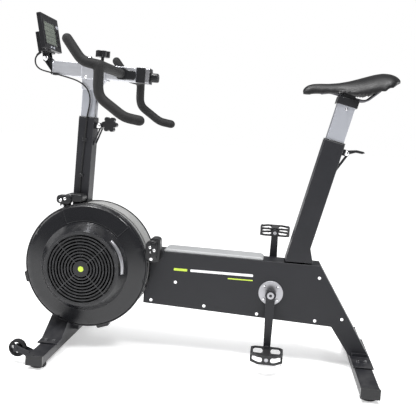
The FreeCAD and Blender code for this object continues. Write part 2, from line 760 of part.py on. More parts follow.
def trimmed(points, back):
    """The same route, stopped short of its last point."""
    points = list(points)
    last = points[-1]
    before = points[-2]
    points[-1] = last - (last - before).normalize() * back
    return points


# ---------------------------------------------------------------- fan housing
def sector(inner, outer, y0, y1, start, sweep):
    """Part of a ring about the Y axis, from angle start (from +X towards +Z)."""
    pie = DOC.addObject("Part::Cylinder", "pie")
    bind(pie, Radius=outer, Height=size(y1) - y0, Angle=sweep)
    lay = FreeCAD.Rotation(FreeCAD.Vector(1, 0, 0), -90)
    swing = FreeCAD.Rotation(FreeCAD.Vector(0, 0, 1), -(start + sweep))
    pie.Placement = FreeCAD.Placement(FreeCAD.Vector(0, 0, 0), lay * swing)
    put(pie, 0, y0, 0)
    return cut(pie, rod(inner, size(y1) - y0 + 2, 0, size(y0) - 1, 0, "Y"))


def wheel_ring(inner, outer, y0, y1):
    """A flat ring about the Y axis."""
    thick = size(y1) - y0
    return cut(rod(outer, thick, 0, y0, 0, "Y"), rod(inner, thick + 2, 0, size(y0) - 1, 0, "Y"))


def fan_frame_parts():
    """Steel carrier that ties chassis, post and leg to the fan axle, and the axle."""
    y0 = D.carrier_y
    y1 = y0 + D.carrier_wall
    parts = [
        wheel_ring(D.band_radius - 30, D.band_radius - 4, y0, y1),
        rod(26, D.carrier_wall, 0, y0, 0, "Y"),
    ]
    for i in range(6):
        parts.append(spoke(10, D.band_radius - 20, y0, y1, 26, 60.0 * i))
    plate_x = D.rim_radius + 6
    inner_face = D.chassis_half - D.plate_wall
    parts.append(box(D.band_radius - 30, D.rim_radius + 48, y0, y1, -64, 40))
    parts.append(box(plate_x, D.rim_radius + 48, y0, inner_face, -64, 40))
    post_x = D.fan_x - D.post_top_x
    parts.append(box(post_x - 30, post_x + 6, y0, y1, D.band_radius - 40, D.band_radius + 34))
    parts.append(box(post_x - 26, post_x + 2, D.post_wide / 2, y1, D.band_radius + 4,
                     D.band_radius + 34))
    leg_x = D.fan_x - D.front_bar_x
    parts.append(box(leg_x - 20, leg_x + 26, y0, y1, -D.band_radius + 4, -D.band_radius * 0.7))
    hole = rod(D.fan_axle_radius, 60, 0, y0 - 20, 0, "Y")
    carrier = node("fan_carrier", fan_frame(cut(fuse(*parts), hole)))
    shaft = rod(D.fan_axle_radius, D.grille_y + 54, 0, -D.grille_y + 3, 0, "Y")
    nut = DOC.addObject("Part::Prism", "nut")
    nut.Polygon = 6
    bind(nut, Circumradius=14, Height=9)
    put(nut, 0, y1, 0, (1, 0, 0), -90.0)
    node("fan_axle", fan_frame(fuse(shaft, nut)))
    return carrier


def covers():
    """Near and far covers, the perforated band between them, the intake grille."""
    wall = D.cover_wall
    rim = D.rim_radius
    mouth = D.grille_radius - 4
    inner_band = D.band_radius - D.band_wall
    near = turned([
        (rim, -D.band_front_y),
        (rim, -D.rim_y),
        (rim - 9, -D.rim_y - 11),
        (D.step_radius + 1, -D.step_y),
        (D.grille_radius + 3, -D.grille_y),
        (mouth, -D.grille_y),
        (mouth, -D.grille_y + wall),
        (D.grille_radius + 0.5, -D.grille_y + wall),
        (D.step_radius - 2, -D.step_y + wall),
        (rim - 11, -D.rim_y - 8),
        (rim - wall, -D.rim_y + 1),
        (rim - wall, -D.band_front_y - wall),
        (inner_band, -D.band_front_y - wall),
        (inner_band, -D.band_front_y),
    ], 0, 0, 0)
    slot = sector(D.grille_radius + 8, D.step_radius - 6, -D.grille_y - 1, -D.step_y + 8,
                  -5.0, 52.0)
    node("near_cover", fan_frame(cut(near, slot)))
    parts = [rod(D.hub_disc_radius, 8, 0, -D.grille_y - 2, 0, "Y")]
    rings = 9
    for i in range(rings):
        outer = mouth - (mouth - D.hub_disc_radius) * (i / rings)
        parts.append(wheel_ring(outer - 4.2, outer, -D.grille_y, -D.grille_y + wall))
    for i in range(4):
        parts.append(spoke(10, mouth - 1, -D.grille_y - 0.6, -D.grille_y + wall + 2, 2.2,
                           45.0 + 90.0 * i))
    hole = rod(D.fan_axle_radius, 20, 0, -D.grille_y + 3, 0, "Y")
    node("intake_grille", fan_frame(cut(fuse(*parts), hole)))
    band = wheel_ring(inner_band, D.band_radius, -D.band_front_y, D.carrier_y - 0.2)
    notch = box(D.band_radius - 60, D.band_radius + 10, 6, D.carrier_y + 5, -92, 56)
    node("perforated_band", fan_frame(cut(band, notch)))
    y0 = D.carrier_y + D.carrier_wall + 0.2
    far = turned([
        (rim, y0),
        (rim, D.far_rim_y + 4),
        (rim - 14, D.far_rim_y + 15),
        (D.far_eye + 56, D.far_rim_y + 25),
        (D.far_eye, D.far_rim_y + 25),
        (D.far_eye, D.far_rim_y + 25 - wall),
        (D.far_eye + 56, D.far_rim_y + 25 - wall),
        (rim - 15, D.far_rim_y + 15 - wall),
        (rim - wall, D.far_rim_y + 2),
        (rim - wall, y0),
    ], 0, 0, 0)
    node("far_cover", fan_frame(far))


def lugs():
    """Clamps that hold the near cover: to post, chassis, and two on the rim."""
    rim = D.rim_radius
    y0 = -D.rim_y - 3
    side = -D.chassis_half
    blocks = [
        fuse(
            box(rim - 8, rim + 30, y0, side, 24, 74),
            box(rim + 2, rim + 34, y0 + 20, side, 28, 100),
        ),
        fuse(
            box(-104, -62, y0, -D.band_front_y + 8, rim - 30, rim + 20),
            box(-78, -22, -D.band_front_y - 2, -D.post_wide / 2, rim + 4, rim + 26),
        ),
        spoke(rim - 6, rim + 9, y0, -D.band_front_y + 14, 34, -195.0),
        spoke(rim - 6, rim + 9, y0, -D.band_front_y + 14, 40, 72.0),
    ]
    node("cover_lugs", group(*[
        cut(fan_frame(group(block)), fan_space(rim)) for block in blocks
    ]))


def fan():
    """Fan wheel with its vanes and hub, and the pulley that drives it."""
    bore = D.fan_axle_radius + D.run_gap
    parts = [
        rod(D.fan_radius, 2.5, 0, -D.vane_back_y - 2.5, 0, "Y"),
        wheel_ring(D.fan_radius - 16, D.fan_radius, -D.vane_front_y, -D.vane_front_y + 2),
        rod(34, D.vane_back_y + 26, 0, -D.vane_back_y - 20, 0, "Y"),
    ]
    vanes = 24
    for i in range(vanes):
        parts.append(spoke(66, D.fan_radius - 1, -D.vane_front_y + 1, -D.vane_back_y - 2, 2.4,
                           360.0 * i / vanes))
    way = rod(bore, 200, 0, -100, 0, "Y")
    node("fan_wheel", fan_frame(cut(fuse(*parts), way)))
    half = D.belt_wide / 2
    y = D.second_belt_y
    hub_face = size(6)
    node("fan_pulley", fan_frame(turned([
        (bore, hub_face),
        (14, hub_face),
        (14, y - half - 2),
        (D.fan_pulley_radius + 3, y - half - 2),
        (D.fan_pulley_radius + 3, y - half - 0.5),
        (D.fan_pulley_radius, y - half - 0.5),
        (D.fan_pulley_radius, y + half + 0.5),
        (D.fan_pulley_radius + 3, y + half + 0.5),
        (D.fan_pulley_radius + 3, y + half + 2),
        (bore, y + half + 2),
    ], 0, 0, 0)))


def damper():
    """Turning shutter behind the near cover, with a tab through its arc slot."""
    y0 = -D.damper_y
    ring = wheel_ring(D.damper_in, D.damper_out - 12, y0, y0 + D.damper_wall)
    tab = box(D.grille_radius + 10, D.step_radius - 10, -D.step_y - 16, y0 + 1, -7, 7)
    holes = []
    for i in range(12):
        holes.append(spoke(D.damper_in + 5, D.damper_out - 18, y0 - 1, y0 + D.damper_wall + 1,
                           14, 30.0 * i + 15.0))
    node("damper_ring", fan_frame(cut(fuse(ring, tab), group(*holes))))


# ---------------------------------------------------------------- drive
def loop_face(xa, za, ra, xb, zb, rb):
    """The face inside a belt line that wraps two round pulleys."""
    along = math.atan2(zb - za, xb - xa)
    apart = math.hypot(zb - za, xb - xa)
    lean = math.acos((ra - rb) / apart)

    def point(x, z, r, angle):
        return FreeCAD.Vector(x + r * math.cos(angle), 0, z + r * math.sin(angle))

    a1 = point(xa, za, ra, along + lean)
    a2 = point(xa, za, ra, along + math.pi)
    a3 = point(xa, za, ra, along - lean)
    b1 = point(xb, zb, rb, along - lean)
    b2 = point(xb, zb, rb, along)
    b3 = point(xb, zb, rb, along + lean)
    wire = Part.Wire([
        Part.Arc(a1, a2, a3).toShape(), Part.LineSegment(a3, b1).toShape(),
        Part.Arc(b1, b2, b3).toShape(), Part.LineSegment(b3, a1).toShape(),
    ])
    return Part.Face(wire)


def belt(xa, za, ra, xb, zb, rb, y):
    """A flat belt round two pulleys, a little clear of both."""
    gap = D.clear_gap.value
    thick = D.belt_thick.value
    wide = D.belt_wide.value
    ends = [s.value for s in (xa, za, ra, xb, zb, rb)]
    inner = loop_face(ends[0], ends[1], ends[2] + gap, ends[3], ends[4], ends[5] + gap)
    outer = loop_face(ends[0], ends[1], ends[2] + gap + thick, ends[3], ends[4],
                      ends[5] + gap + thick)
    ring = outer.cut(inner)
    ring.translate(FreeCAD.Vector(0, y.value - wide / 2, 0))
    return feature(ring.extrude(FreeCAD.Vector(0, wide, 0)))


def drive():
    """Crank pulley, jack shaft, two belts and the bearings that carry them."""
    first = D.first_belt_y
    second = D.second_belt_y
    half = D.belt_wide / 2 + 1
    node("drive_belts", group(
        belt(D.crank_x, D.crank_z, D.crank_pulley_radius, JACK_X, D.jack_z,
             D.small_pulley_radius, first),
        belt(JACK_X, D.jack_z, D.big_pulley_radius, FAN_X, D.fan_z, D.fan_pulley_radius, second),
    ))
    shaft = D.jack_radius
    end = D.chassis_half - D.plate_wall - 1
    small = D.small_pulley_radius
    flange = small + D.pulley_lip
    lip = D.lip_thick
    hub = D.jack_hub
    big = D.big_pulley_radius
    big_in = big - D.pulley_rim + 1
    web = D.pulley_web
    node("jackshaft", turned([
        (0, -end), (shaft, -end),
        (shaft, first - half - lip), (flange, first - half - lip),
        (flange, first - half), (small, first - half),
        (small, first + half), (flange, first + half),
        (flange, first + half + lip), (hub, first + half + lip),
        (hub, second - web), (big_in, second - web), (big_in, second - half),
        (big, second - half), (big, second + half),
        (big_in, second + half), (big_in, second + web),
        (hub, second + web), (hub, second + half + lip), (shaft, second + half + lip),
        (shaft, end), (0, end),
    ], JACK_X, 0, D.jack_z))
    r = D.crank_pulley_radius
    rim_in = r - D.pulley_rim
    hub = D.pulley_hub
    hub_half = D.cup_deep
    disc = turned([
        (D.axle_radius, first - hub_half), (hub, first - hub_half), (hub, first - web),
        (rim_in, first - web), (rim_in, first - half), (r, first - half), (r, first + half),
        (rim_in, first + half), (rim_in, first + web), (hub, first + web),
        (hub, first + hub_half), (D.axle_radius, first + hub_half),
    ], 0, 0, 0)
    windows = []
    for i in range(5):
        x, z = around(size(0), size(0), rim_in * 0.66, 72.0 * i)
        windows.append(rod(D.window_radius, 40, x, first - 20, z, "Y"))
    node("crank_pulley", put(cut(disc, group(*windows)), D.crank_x, 0, D.crank_z))
    cups = []
    inner_face = D.chassis_half - D.plate_wall
    for side in (-1, 1):
        y = D.chassis_half
        half_disc = D.disc_thick / 2
        disc_y = side * (y + half_disc) - half_disc
        plate = rod(D.disc_radius, D.disc_thick, D.crank_x, disc_y, D.crank_z, "Y")
        half_cup = D.cup_deep / 2
        cup_y = side * (y - half_cup) - half_cup
        cup = rod(D.bearing_hole, D.cup_deep, D.crank_x, cup_y, D.crank_z, "Y")
        way = rod(D.axle_radius + D.run_gap, 200, D.crank_x, -100, D.crank_z, "Y")
        cups.append(cut(fuse(plate, cup), way))
        jack_y = side * (inner_face - 4) - 4
        block = rod(D.jack_block, 8, JACK_X, jack_y, D.jack_z, "Y")
        hole = rod(shaft + D.run_gap, 200, JACK_X, -100, D.jack_z, "Y")
        cups.append(cut(block, hole))
    node("bearing_cups", group(*cups))


def cranks():
    """Axle, two crank arms, their bolts, pedal spindles and pedals."""
    inner = D.chassis_half + D.crank_inner_gap
    outer = inner + D.crank_arm_thick
    axle = rod(D.axle_radius, 2 * outer, D.crank_x, -outer, D.crank_z, "Y")
    bolts = []
    spindles = []
    wide = D.crank_arm_width
    for name, side in (("left_crank", -1), ("right_crank", 1)):
        y0 = side * (inner + D.crank_arm_thick / 2) - D.crank_arm_thick / 2
        end_z = D.crank_z + side * D.crank_length
        big = rod(wide * 0.72, D.crank_arm_thick, D.crank_x, y0, D.crank_z, "Y")
        small = rod(wide * 0.5, D.crank_arm_thick, D.crank_x, y0, end_z, "Y")
        arm = slab([
            (D.crank_x - wide * 0.62, D.crank_z),
            (D.crank_x + wide * 0.62, D.crank_z),
            (D.crank_x + wide * 0.45, end_z),
            (D.crank_x - wide * 0.45, end_z),
        ], side * (inner + D.crank_arm_thick / 2), D.crank_arm_thick - 3)
        bore = rod(D.axle_radius, 2 * outer, D.crank_x, -outer, D.crank_z, "Y")
        eye = rod(D.spindle_radius, 60, D.crank_x, y0 - 10, end_z, "Y")
        node(name, cut(fuse(big, small, arm), bore, eye))
        half_cap = D.crank_cap_thick / 2
        cap_y = side * (outer + half_cap) - half_cap
        bolts.append(rod(D.crank_cap_radius, D.crank_cap_thick, D.crank_x, cap_y, D.crank_z, "Y"))
        reach = D.pedal_wide + D.pedal_gap + D.crank_arm_thick
        spin_y = side * (inner + reach / 2) - reach / 2
        stop_y = side * (outer + D.pedal_gap / 2) - D.pedal_gap / 2 + 0.25
        spindle = rod(D.spindle_radius, reach - 4, D.crank_x, spin_y + 2, end_z, "Y")
        shoulder = rod(D.shoulder_radius, D.pedal_gap - 0.5, D.crank_x, stop_y, end_z, "Y")
        spindles.append(fuse(spindle, shoulder))
    node("crank_axle", fuse(axle, *bolts))
    node("pedal_spindles", group(*spindles))
    long = D.pedal_long / 2
    tall = D.pedal_thick / 2
    for name, side in (("left_pedal", -1), ("right_pedal", 1)):
        end_z = D.crank_z + side * D.crank_length
        start = outer + D.pedal_gap
        y0 = side * (start + D.pedal_wide / 2) - D.pedal_wide / 2
        body = box(-long, long, y0, y0 + D.pedal_wide, -tall, tall)
        windows = []
        rim = D.pedal_rim
        middle = y0 + D.pedal_wide / 2
        for x0, x1 in ((-long + rim, -D.pedal_barrel), (D.pedal_barrel, long - rim)):
            windows.append(box(x0, x1, y0 + rim, middle - rim / 2 + 0.5, -20, 20))
            windows.append(box(x0, x1, middle + rim / 2 - 0.5, y0 + D.pedal_wide - rim, -20, 20))
        bore = rod(D.spindle_radius + D.run_gap, 2 * D.pedal_wide, 0, y0 - 40, 0, "Y")
        node(name, put(cut(body, group(*windows), bore), D.crank_x, 0, end_z))


def casters():
    """Two transport wheels in forks on the front cross bar."""
    face = D.crank_x - D.front_bar_x - D.front_bar_wide / 2
    x = face - (D.caster_ahead - D.front_bar_wide / 2)
    z = D.caster_z
    forks = []
    half = D.caster_wide / 2
    bolt_r = D.caster_bolt
    bore = bolt_r + D.run_gap
    rim = D.caster_radius
    hub = D.caster_hub
    dish = D.caster_dish
    web_end = rim - D.caster_tread
    for name, side in (("left_caster", -1), ("right_caster", 1)):
        y = side * D.caster_y
        wheel = turned([
            (bore, -half), (hub, -half), (hub, dish - half), (web_end, dish - half),
            (web_end, -half), (rim - 2, -half), (rim, dish - half),
            (rim, half - dish), (rim - 2, half), (web_end, half),
            (web_end, half - dish), (hub, half - dish), (hub, half), (bore, half),
        ], x, y, z)
        node(name, wheel)
        ears = []
        for hand in (-1, 1):
            y0 = y + hand * (half + 2.5) - 1.5
            ear = slab([(x - 9, z - 9), (x + 9, z - 9), (face, z - 26), (face, z - 4),
                        (x + 2, z + 10), (x - 9, z + 9)], y0 + 1.5, 3)
            ears.append(ear)
        plate = box(face - 4, face, y - half - 10, y + half + 10, z - 28, z - 7)
        pin = rod(bolt_r, 2 * half + 12, x, y - half - 6, z, "Y")
        forks.append(fuse(plate, pin, *ears))
    node("caster_brackets", group(*forks))


# ---------------------------------------------------------------- clamps
def star(radius, tall, u, y, w, axis):
    """A six-lobed hand knob on the given axis."""
    middle = radius * 0.72
    lobe = radius * 0.3
    parts = [rod(middle, tall, u, y, w, axis)]
    for i in range(6):
        if axis == "Y":
            across, up = around(u, w, middle, 60.0 * i)
            parts.append(rod(lobe, tall, across, y, up, "Y"))
        else:
            across, aside = around(u, y, middle, 60.0 * i)
            parts.append(rod(lobe, tall, across, aside, w))
    return parts


def ear_pair(face, u, w):
    """Two ears with a pin, and the two thin struts that brace them from below."""
    y = D.ear_y
    wall = D.ear_wall
    r = D.ear_radius
    reach = D.strut_reach
    parts = [rod(D.lever_pin_radius, 2 * (y + wall) + 6, u, -y - wall - 3, w, "Y")]
    for side in (-1, 1):
        middle = side * (y + wall / 2)
        parts.append(box(face, u, middle - wall / 2, middle + wall / 2, w - r, w + r))
        parts.append(rod(r, wall, u, middle - wall / 2, w, "Y"))
        parts.append(slab([
            (u + r - 2, w - 5), (face + 3, w - reach), (face, w - reach),
            (face, w - reach + 6), (u + 2, w - r + 1),
        ], middle, wall))
    parts.append(box(face, face + 3, -y - wall, y + wall, w - reach - 4, w - reach + 4))
    return parts


def clamp_levers():
    """Cam levers behind the two sliding posts, their ears, pins and struts."""
    ears = []
    r = D.ear_radius
    half = D.ear_y - D.clear_gap * 2
    w = -D.lever_drop
    for name, frame, face in (
        ("seat_lever", seat_frame, D.seat_tube_long / 2),
        ("bar_lever", post_frame, D.post_long / 2),
    ):
        u = face + D.lever_out
        ears.append(frame(fuse(*ear_pair(face, u, w))))
        parts = [rod(r, 2 * half, u, -half, w, "Y")]
        if name == "seat_lever":
            parts.append(slab([
                (u, w + 2), (u + 4, w + 10), (u + 30, w + 19), (u + 50, w + 20),
                (u + 56, w + 17), (u + 48, w + 12), (u + 28, w + 10), (u + 4, w - 4),
            ], 0, 2 * half))
        else:
            knob_u = u + D.star_out
            knob_w = w + D.star_up
            parts.append(slab([(u, w + 6), (knob_u, knob_w + 5), (knob_u, knob_w - 5),
                               (u, w - 6)], 0, 14))
            parts += star(D.star_radius, 2 * half, knob_u, -half, knob_w, "Y")
        way = rod(D.lever_pin_radius + D.run_gap, 60, u, -30, w, "Y")
        node(name, frame(cut(fuse(*parts), way)))
    node("lever_brackets", group(*ears))


# ---------------------------------------------------------------- monitor
def monitor():
    """Arm on the slide's front end, tilting case, screen and two keys."""
    px, pz = post_point(-D.pivot_u, D.pivot_w)
    h = D.slide_tall / 2
    w = D.slide_w
    plug = box(-D.slide_front - 5, -D.slide_front, -22, 22, w - h, w + h)
    arm = slab([
        (-D.slide_front - 5, w - h + 6), (-D.slide_front, w - h + 6),
        (-D.slide_front, w + h), (-D.pivot_u + 8, D.pivot_w + 6),
        (-D.pivot_u - 8, D.pivot_w + 4), (-D.pivot_u - 8, D.pivot_w - 8),
    ], 0, 20)
    boss = rod(9, 20, -D.pivot_u, -10, D.pivot_w, "Y")
    way = rod(4 + D.run_gap, 80, -D.pivot_u, -40, D.pivot_w, "Y")
    node("monitor_arm", post_frame(cut(fuse(plug, arm, boss), way)))

    def tilt(thing):
        return put(thing, px, 0, pz, (0, 1, 0), -D.monitor_lean)

    face = D.screen_out
    back = face - D.monitor_thick
    low = D.monitor_lift
    top = low + D.monitor_tall
    half = D.monitor_half
    case = box(back, face, -half, half, low, top)
    pack = box(back - D.battery_thick, back, -half + 28, half - 28, low - 4, low + 58)
    parts = [case, pack]
    for side in (-1, 1):
        y0 = side * 13.5 - 2.5
        parts.append(box(back - D.battery_thick, back, y0, y0 + 5, -9, low))
        parts.append(box(-9, back - D.battery_thick + 2, y0, y0 + 5, -9, 9))
    parts.append(rod(4, 32, 0, -16, 0, "Y"))
    screen_y0 = -half + 14
    screen_y1 = half - 40
    window = box(face - 2, face + 1, screen_y0, screen_y1, low + 16, top - 24)
    holes = []
    keys = []
    for name, y in (("left_key", -22), ("right_key", 2)):
        y = size(y)
        holes.append(box(face - 5, face + 1, y - 6.3, y + 6.3, low + 4.7, low + 11.3))
        keys.append((name, box(face - 3.5, face + 1.5, y - 6, y + 6, low + 5, low + 11)))
    node("monitor_case", tilt(cut(fuse(*parts), window, *holes)))
    node("monitor_screen", tilt(group(
        box(face - 2, face - 0.4, screen_y0 + 0.3, screen_y1 - 0.3, low + 16.3, top - 24.3))))
    for name, key in keys:
        node(name, tilt(group(key)))


# ---------------------------------------------------------------- lead
# Route of the monitor's lead: ahead of the crank axle, to the left, and up.
MONITOR_ROUTE = (
    (786, 40, 942.6), (796.8, 39.6, 933), (801.6, 39, 919), (798.9, 38.3, 904.4), (789, 37.4, 893),
    (774.5, 36.4, 887.5), (755, 35.3, 883.5), (732, 34.4, 878.8), (708, 34, 873.5),
    (684, 35.5, 868), (660, 37, 861), (638, 37.5, 849), (623, 37, 831),
    (617, 36, 808), (619, 34, 784), (624, 32, 764), (627, 31.2, 745.2),
)
FRAME_ROUTE = (
    (627, 31.2, 744.2), (628, 31.2, 715), (631.5, 31.2, 676), (633.5, 31.2, 636),
    (637, 31.2, 594), (638.5, 31.2, 560), (640.5, 31.2, 530), (641, 31.2, 502),
)


def lead_tube(route):
    """A lead's tube: each arc as large as its two runs allow."""
    points = [FreeCAD.Vector(D.crank_x.value - a, -b, c) for a, b, c in route]
    radii = []
    for i in range(1, len(points) - 1):
        into = points[i] - points[i - 1]
        away = points[i + 1] - points[i]
        shorter = min(into.Length, away.Length)
        turn = into.getAngle(away)
        radii.append(0.45 * shorter / math.tan(turn / 2))
    shape = tube_shape(points, radii, D.lead_radius.value)
    length = rounded_path(points, radii).Length
    section = math.pi * D.lead_radius.value ** 2
    print("lead radii", [round(r) for r in radii], "length", round(length),
          "volume ratio", round(shape.Volume / section / length, 4))
    return feature(shape)


def lead():
    """The monitor's lead: its free stretch above the frame post, and the clipped one."""
    node("monitor_lead", lead_tube(MONITOR_ROUTE))
    node("frame_lead", lead_tube(FRAME_ROUTE))


# ---------------------------------------------------------------- fasteners
def fasteners():
    """Button heads on the chassis, flanges, bearing discs and cover lugs."""
    heads = []
    beside_rim = D.rim_radius + 10 - D.fan_x
    spots = (
        (-308, 237), (beside_rim, 172), (-211, 167), (-40, 156), (145, 150), (229, 162),
        (149, 289),
    )
    for side in (-1, 1):
        half_head = D.head_tall / 2
        y = side * (D.chassis_half + half_head) - half_head
        for dx, z in spots:
            heads.append(rod(D.head_radius, D.head_tall, D.crank_x + dx, y, z, "Y"))
        for i in range(4):
            x, z = around(D.crank_x, D.crank_z, D.disc_radius - 9, 45.0 + 90.0 * i)
            half_screw = D.screw_tall / 2
            y = side * (D.chassis_half + D.disc_thick + half_screw) - half_screw
            heads.append(rod(D.screw_radius, D.screw_tall, x, y, z, "Y"))
        for x, y in (
            (D.crank_x + D.rear_bar_x - 12, side * D.rear_bolt_y),
            (D.crank_x + D.rear_bar_x + 12, side * D.rear_bolt_y),
            (D.crank_x - D.front_bar_x - 12, side * D.front_bolt_y),
            (D.crank_x - D.front_bar_x + 12, side * D.front_bolt_y),
        ):
            heads.append(rod(D.head_radius, 4, x, y, D.bar_top_z + D.flange_wall))
    y0 = -D.rim_y - 6
    for x, z in ((D.rim_radius + 12, 60), (D.rim_radius + 12, 38), (-84, D.rim_radius + 8),
                 (-84, D.rim_radius - 12)):
        heads.append(rod(D.head_radius, D.head_tall, FAN_X + x, y0, D.fan_z + z, "Y"))
    node("frame_bolts", group(*heads))


# ---------------------------------------------------------------- build
def build():
    chassis()
    rear_flanges()
    cross_bars()
    seat_tube()
    posts()
    saddle()
    saddle_body()
    handlebar()
    bars()
    carrier = fan_frame_parts()
    covers()
    lugs()
    fan()
    damper()
    drive()
    cranks()
    casters()
    clamp_levers()
    monitor()
    lead()
    fasteners()
    front_leg(carrier)


def export():
    """Check every object and piece, then write one STEP file per piece."""
    DOC.recompute()
    for thing in DOC.Objects:
        if "Invalid" in thing.State or "Error" in thing.State:
            raise RuntimeError(f"{thing.Name} {thing.Label}: {thing.State}")
    os.makedirs("parts", exist_ok=True)
    for thing in NODES:
        shape = thing.Shape
        if shape.isNull() or not shape.isValid():
            raise RuntimeError(f"{thing.Label}: bad shape")
        shape.exportStep(os.path.join("parts", thing.Label + ".step"))
        print(thing.Label, len(shape.Solids), round(shape.Volume), shape.BoundBox)


build()
export()
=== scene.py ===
# %% [markdown]
# # An air-fan exercise bike
# The imported model brings every rigid part of the bike at its true size and place, so this
# script never moves one.  What it adds is what a rigid model can't say: the padded saddle,
# the soft foam on the bars, the free lead of the display, the punched fan band, and the
# finish of every surface.

# %% Load the fixed frame
import bmesh
import bpy
import math
from mathutils import Matrix, Vector


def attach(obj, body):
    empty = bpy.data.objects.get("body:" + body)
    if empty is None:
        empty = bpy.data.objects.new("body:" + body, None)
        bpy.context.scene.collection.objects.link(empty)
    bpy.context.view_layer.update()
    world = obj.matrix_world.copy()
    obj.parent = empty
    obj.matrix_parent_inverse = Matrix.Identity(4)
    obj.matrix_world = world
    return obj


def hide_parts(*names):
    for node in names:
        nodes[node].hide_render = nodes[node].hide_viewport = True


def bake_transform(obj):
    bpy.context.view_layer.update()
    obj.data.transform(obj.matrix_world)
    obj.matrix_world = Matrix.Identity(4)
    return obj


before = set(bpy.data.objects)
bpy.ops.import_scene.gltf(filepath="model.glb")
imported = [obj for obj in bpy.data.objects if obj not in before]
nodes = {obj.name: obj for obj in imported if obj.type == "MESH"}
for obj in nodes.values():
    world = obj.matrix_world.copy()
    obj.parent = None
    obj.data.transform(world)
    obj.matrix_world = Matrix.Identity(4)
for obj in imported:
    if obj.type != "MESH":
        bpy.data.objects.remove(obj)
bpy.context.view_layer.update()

# %% [markdown]
# Everything below is placed from a few named points: the crank axle, the fan's axle, and
# the two leaning posts.  Each post gets a small function that turns "along the post's
# own depth and height" into metres of the row frame, so a piece on a leaning post is
# built upright in numbers and lands leaning.

# %% Named places, in metres
AXLE_X, AXLE_Z = 0.2285, 0.228
FAN_X, FAN_Z = AXLE_X - 0.593, 0.277
SEAT_LEAN, POST_LEAN, DISPLAY_LEAN = math.radians(13.5), math.radians(2.1), math.radians(11.1)
SEAT_TOP = Vector((AXLE_X + 0.163, 0, 0.719))
POST_TOP = Vector((AXLE_X - 0.629, 0, 0.7475))


def leaning(origin, lean):
    """A matrix whose X runs behind the post, Z up along it."""
    turn = Matrix.Rotation(lean, 4, "Y")
    return Matrix.Translation(origin) @ turn


SEAT_FRAME = leaning(SEAT_TOP, SEAT_LEAN)
POST_FRAME = leaning(POST_TOP, POST_LEAN)
DISPLAY_PIVOT = POST_FRAME @ Vector((-0.152, 0, 0.176))
DISPLAY_FRAME = leaning(DISPLAY_PIVOT, -DISPLAY_LEAN)
print("seat post foot", SEAT_TOP[:], "display pivot", [round(v, 4) for v in DISPLAY_PIVOT])

# %% [markdown]
# ## Effects shared by many finishes
# Powder coat, moulded plastic, drawn aluminium and vinyl differ in colour, yet share a
# few small effects: a fine grain, worn edges, settled dust, long drawn streaks.  Each is
# one shader node group with named inputs, built once and used with other values.  The
# groups put out only masks and heights; the shader itself stays in each material.

# %% Helpers that build a node group
def new_group(name, inputs, outputs):
    """An empty group with float inputs {name: default} and float outputs."""
    group = bpy.data.node_groups.new(name, "ShaderNodeTree")
    for label, value in inputs.items():
        socket = group.interface.new_socket(label, in_out="INPUT", socket_type="NodeSocketFloat")
        socket.default_value = value
    for label in outputs:
        group.interface.new_socket(label, in_out="OUTPUT", socket_type="NodeSocketFloat")
    return group, group.nodes.new("NodeGroupInput"), group.nodes.new("NodeGroupOutput")


def math_node(tree, operation, first, second, clamp=False):
    """A Math node fed by sockets or plain numbers; returns its output."""
    node = tree.nodes.new("ShaderNodeMath")
    node.operation = operation
    node.use_clamp = clamp
    for slot, value in zip(node.inputs, (first, second)):
        if isinstance(value, (int, float)):
            slot.default_value = value
        else:
            tree.links.new(value, slot)
    return node.outputs[0]


def surface_place(tree):
    """Object coordinates, which are the row frame's metres on every piece."""
    return tree.nodes.new("ShaderNodeTexCoord").outputs["Object"]


def noise_at(tree, place, scale, detail=4.0):
    """A noise texture; scale is a number or a socket, in features per metre."""
    node = tree.nodes.new("ShaderNodeTexNoise")
    node.inputs["Detail"].default_value = detail
    tree.links.new(place, node.inputs["Vector"])
    if isinstance(scale, (int, float)):
        node.inputs["Scale"].default_value = scale
    else:
        tree.links.new(scale, node.inputs["Scale"])
    return node.outputs["Fac"]


def over(tree, value, floor, gain):
    """How far a value stands over a floor, times a gain, held to 0..1."""
    return math_node(tree, "MULTIPLY", math_node(tree, "SUBTRACT", value, floor), gain, clamp=True)


print("node helpers ready")

# %% Group: the fine pebbled grain of powder coat and moulded plastic
def build_grain():
    group, source, sink = new_group("pebble grain", {"Scale": 900.0, "Patch Scale": 14.0},
                                    ["Height", "Patches"])
    place = surface_place(group)
    fine = noise_at(group, place, source.outputs["Scale"], 2.0)
    broad = noise_at(group, place, source.outputs["Patch Scale"], 4.0)
    group.links.new(fine, sink.inputs["Height"])
    group.links.new(broad, sink.inputs["Patches"])
    return group


GRAIN = build_grain()
print("group", GRAIN.name)

# %% Group: rubbed, paler edges
def build_edge_wear():
    group, source, sink = new_group("edge wear", {"Width": 0.0015, "Breakup": 60.0}, ["Mask"])
    bevel = group.nodes.new("ShaderNodeBevel")
    bevel.samples = 4
    group.links.new(source.outputs["Width"], bevel.inputs["Radius"])
    flat = group.nodes.new("ShaderNodeNewGeometry")
    dot = group.nodes.new("ShaderNodeVectorMath")
    dot.operation = "DOT_PRODUCT"
    group.links.new(bevel.outputs["Normal"], dot.inputs[0])
    group.links.new(flat.outputs["Normal"], dot.inputs[1])
    edge = math_node(group, "SUBTRACT", 1.0, dot.outputs["Value"])
    edge = math_node(group, "MULTIPLY", edge, 7.0, clamp=True)
    broken = noise_at(group, surface_place(group), source.outputs["Breakup"], 5.0)
    broken = over(group, broken, floor=0.35, gain=3.0)
    group.links.new(math_node(group, "MULTIPLY", edge, broken), sink.inputs["Mask"])
    return group


EDGE_WEAR = build_edge_wear()
print("group", EDGE_WEAR.name)

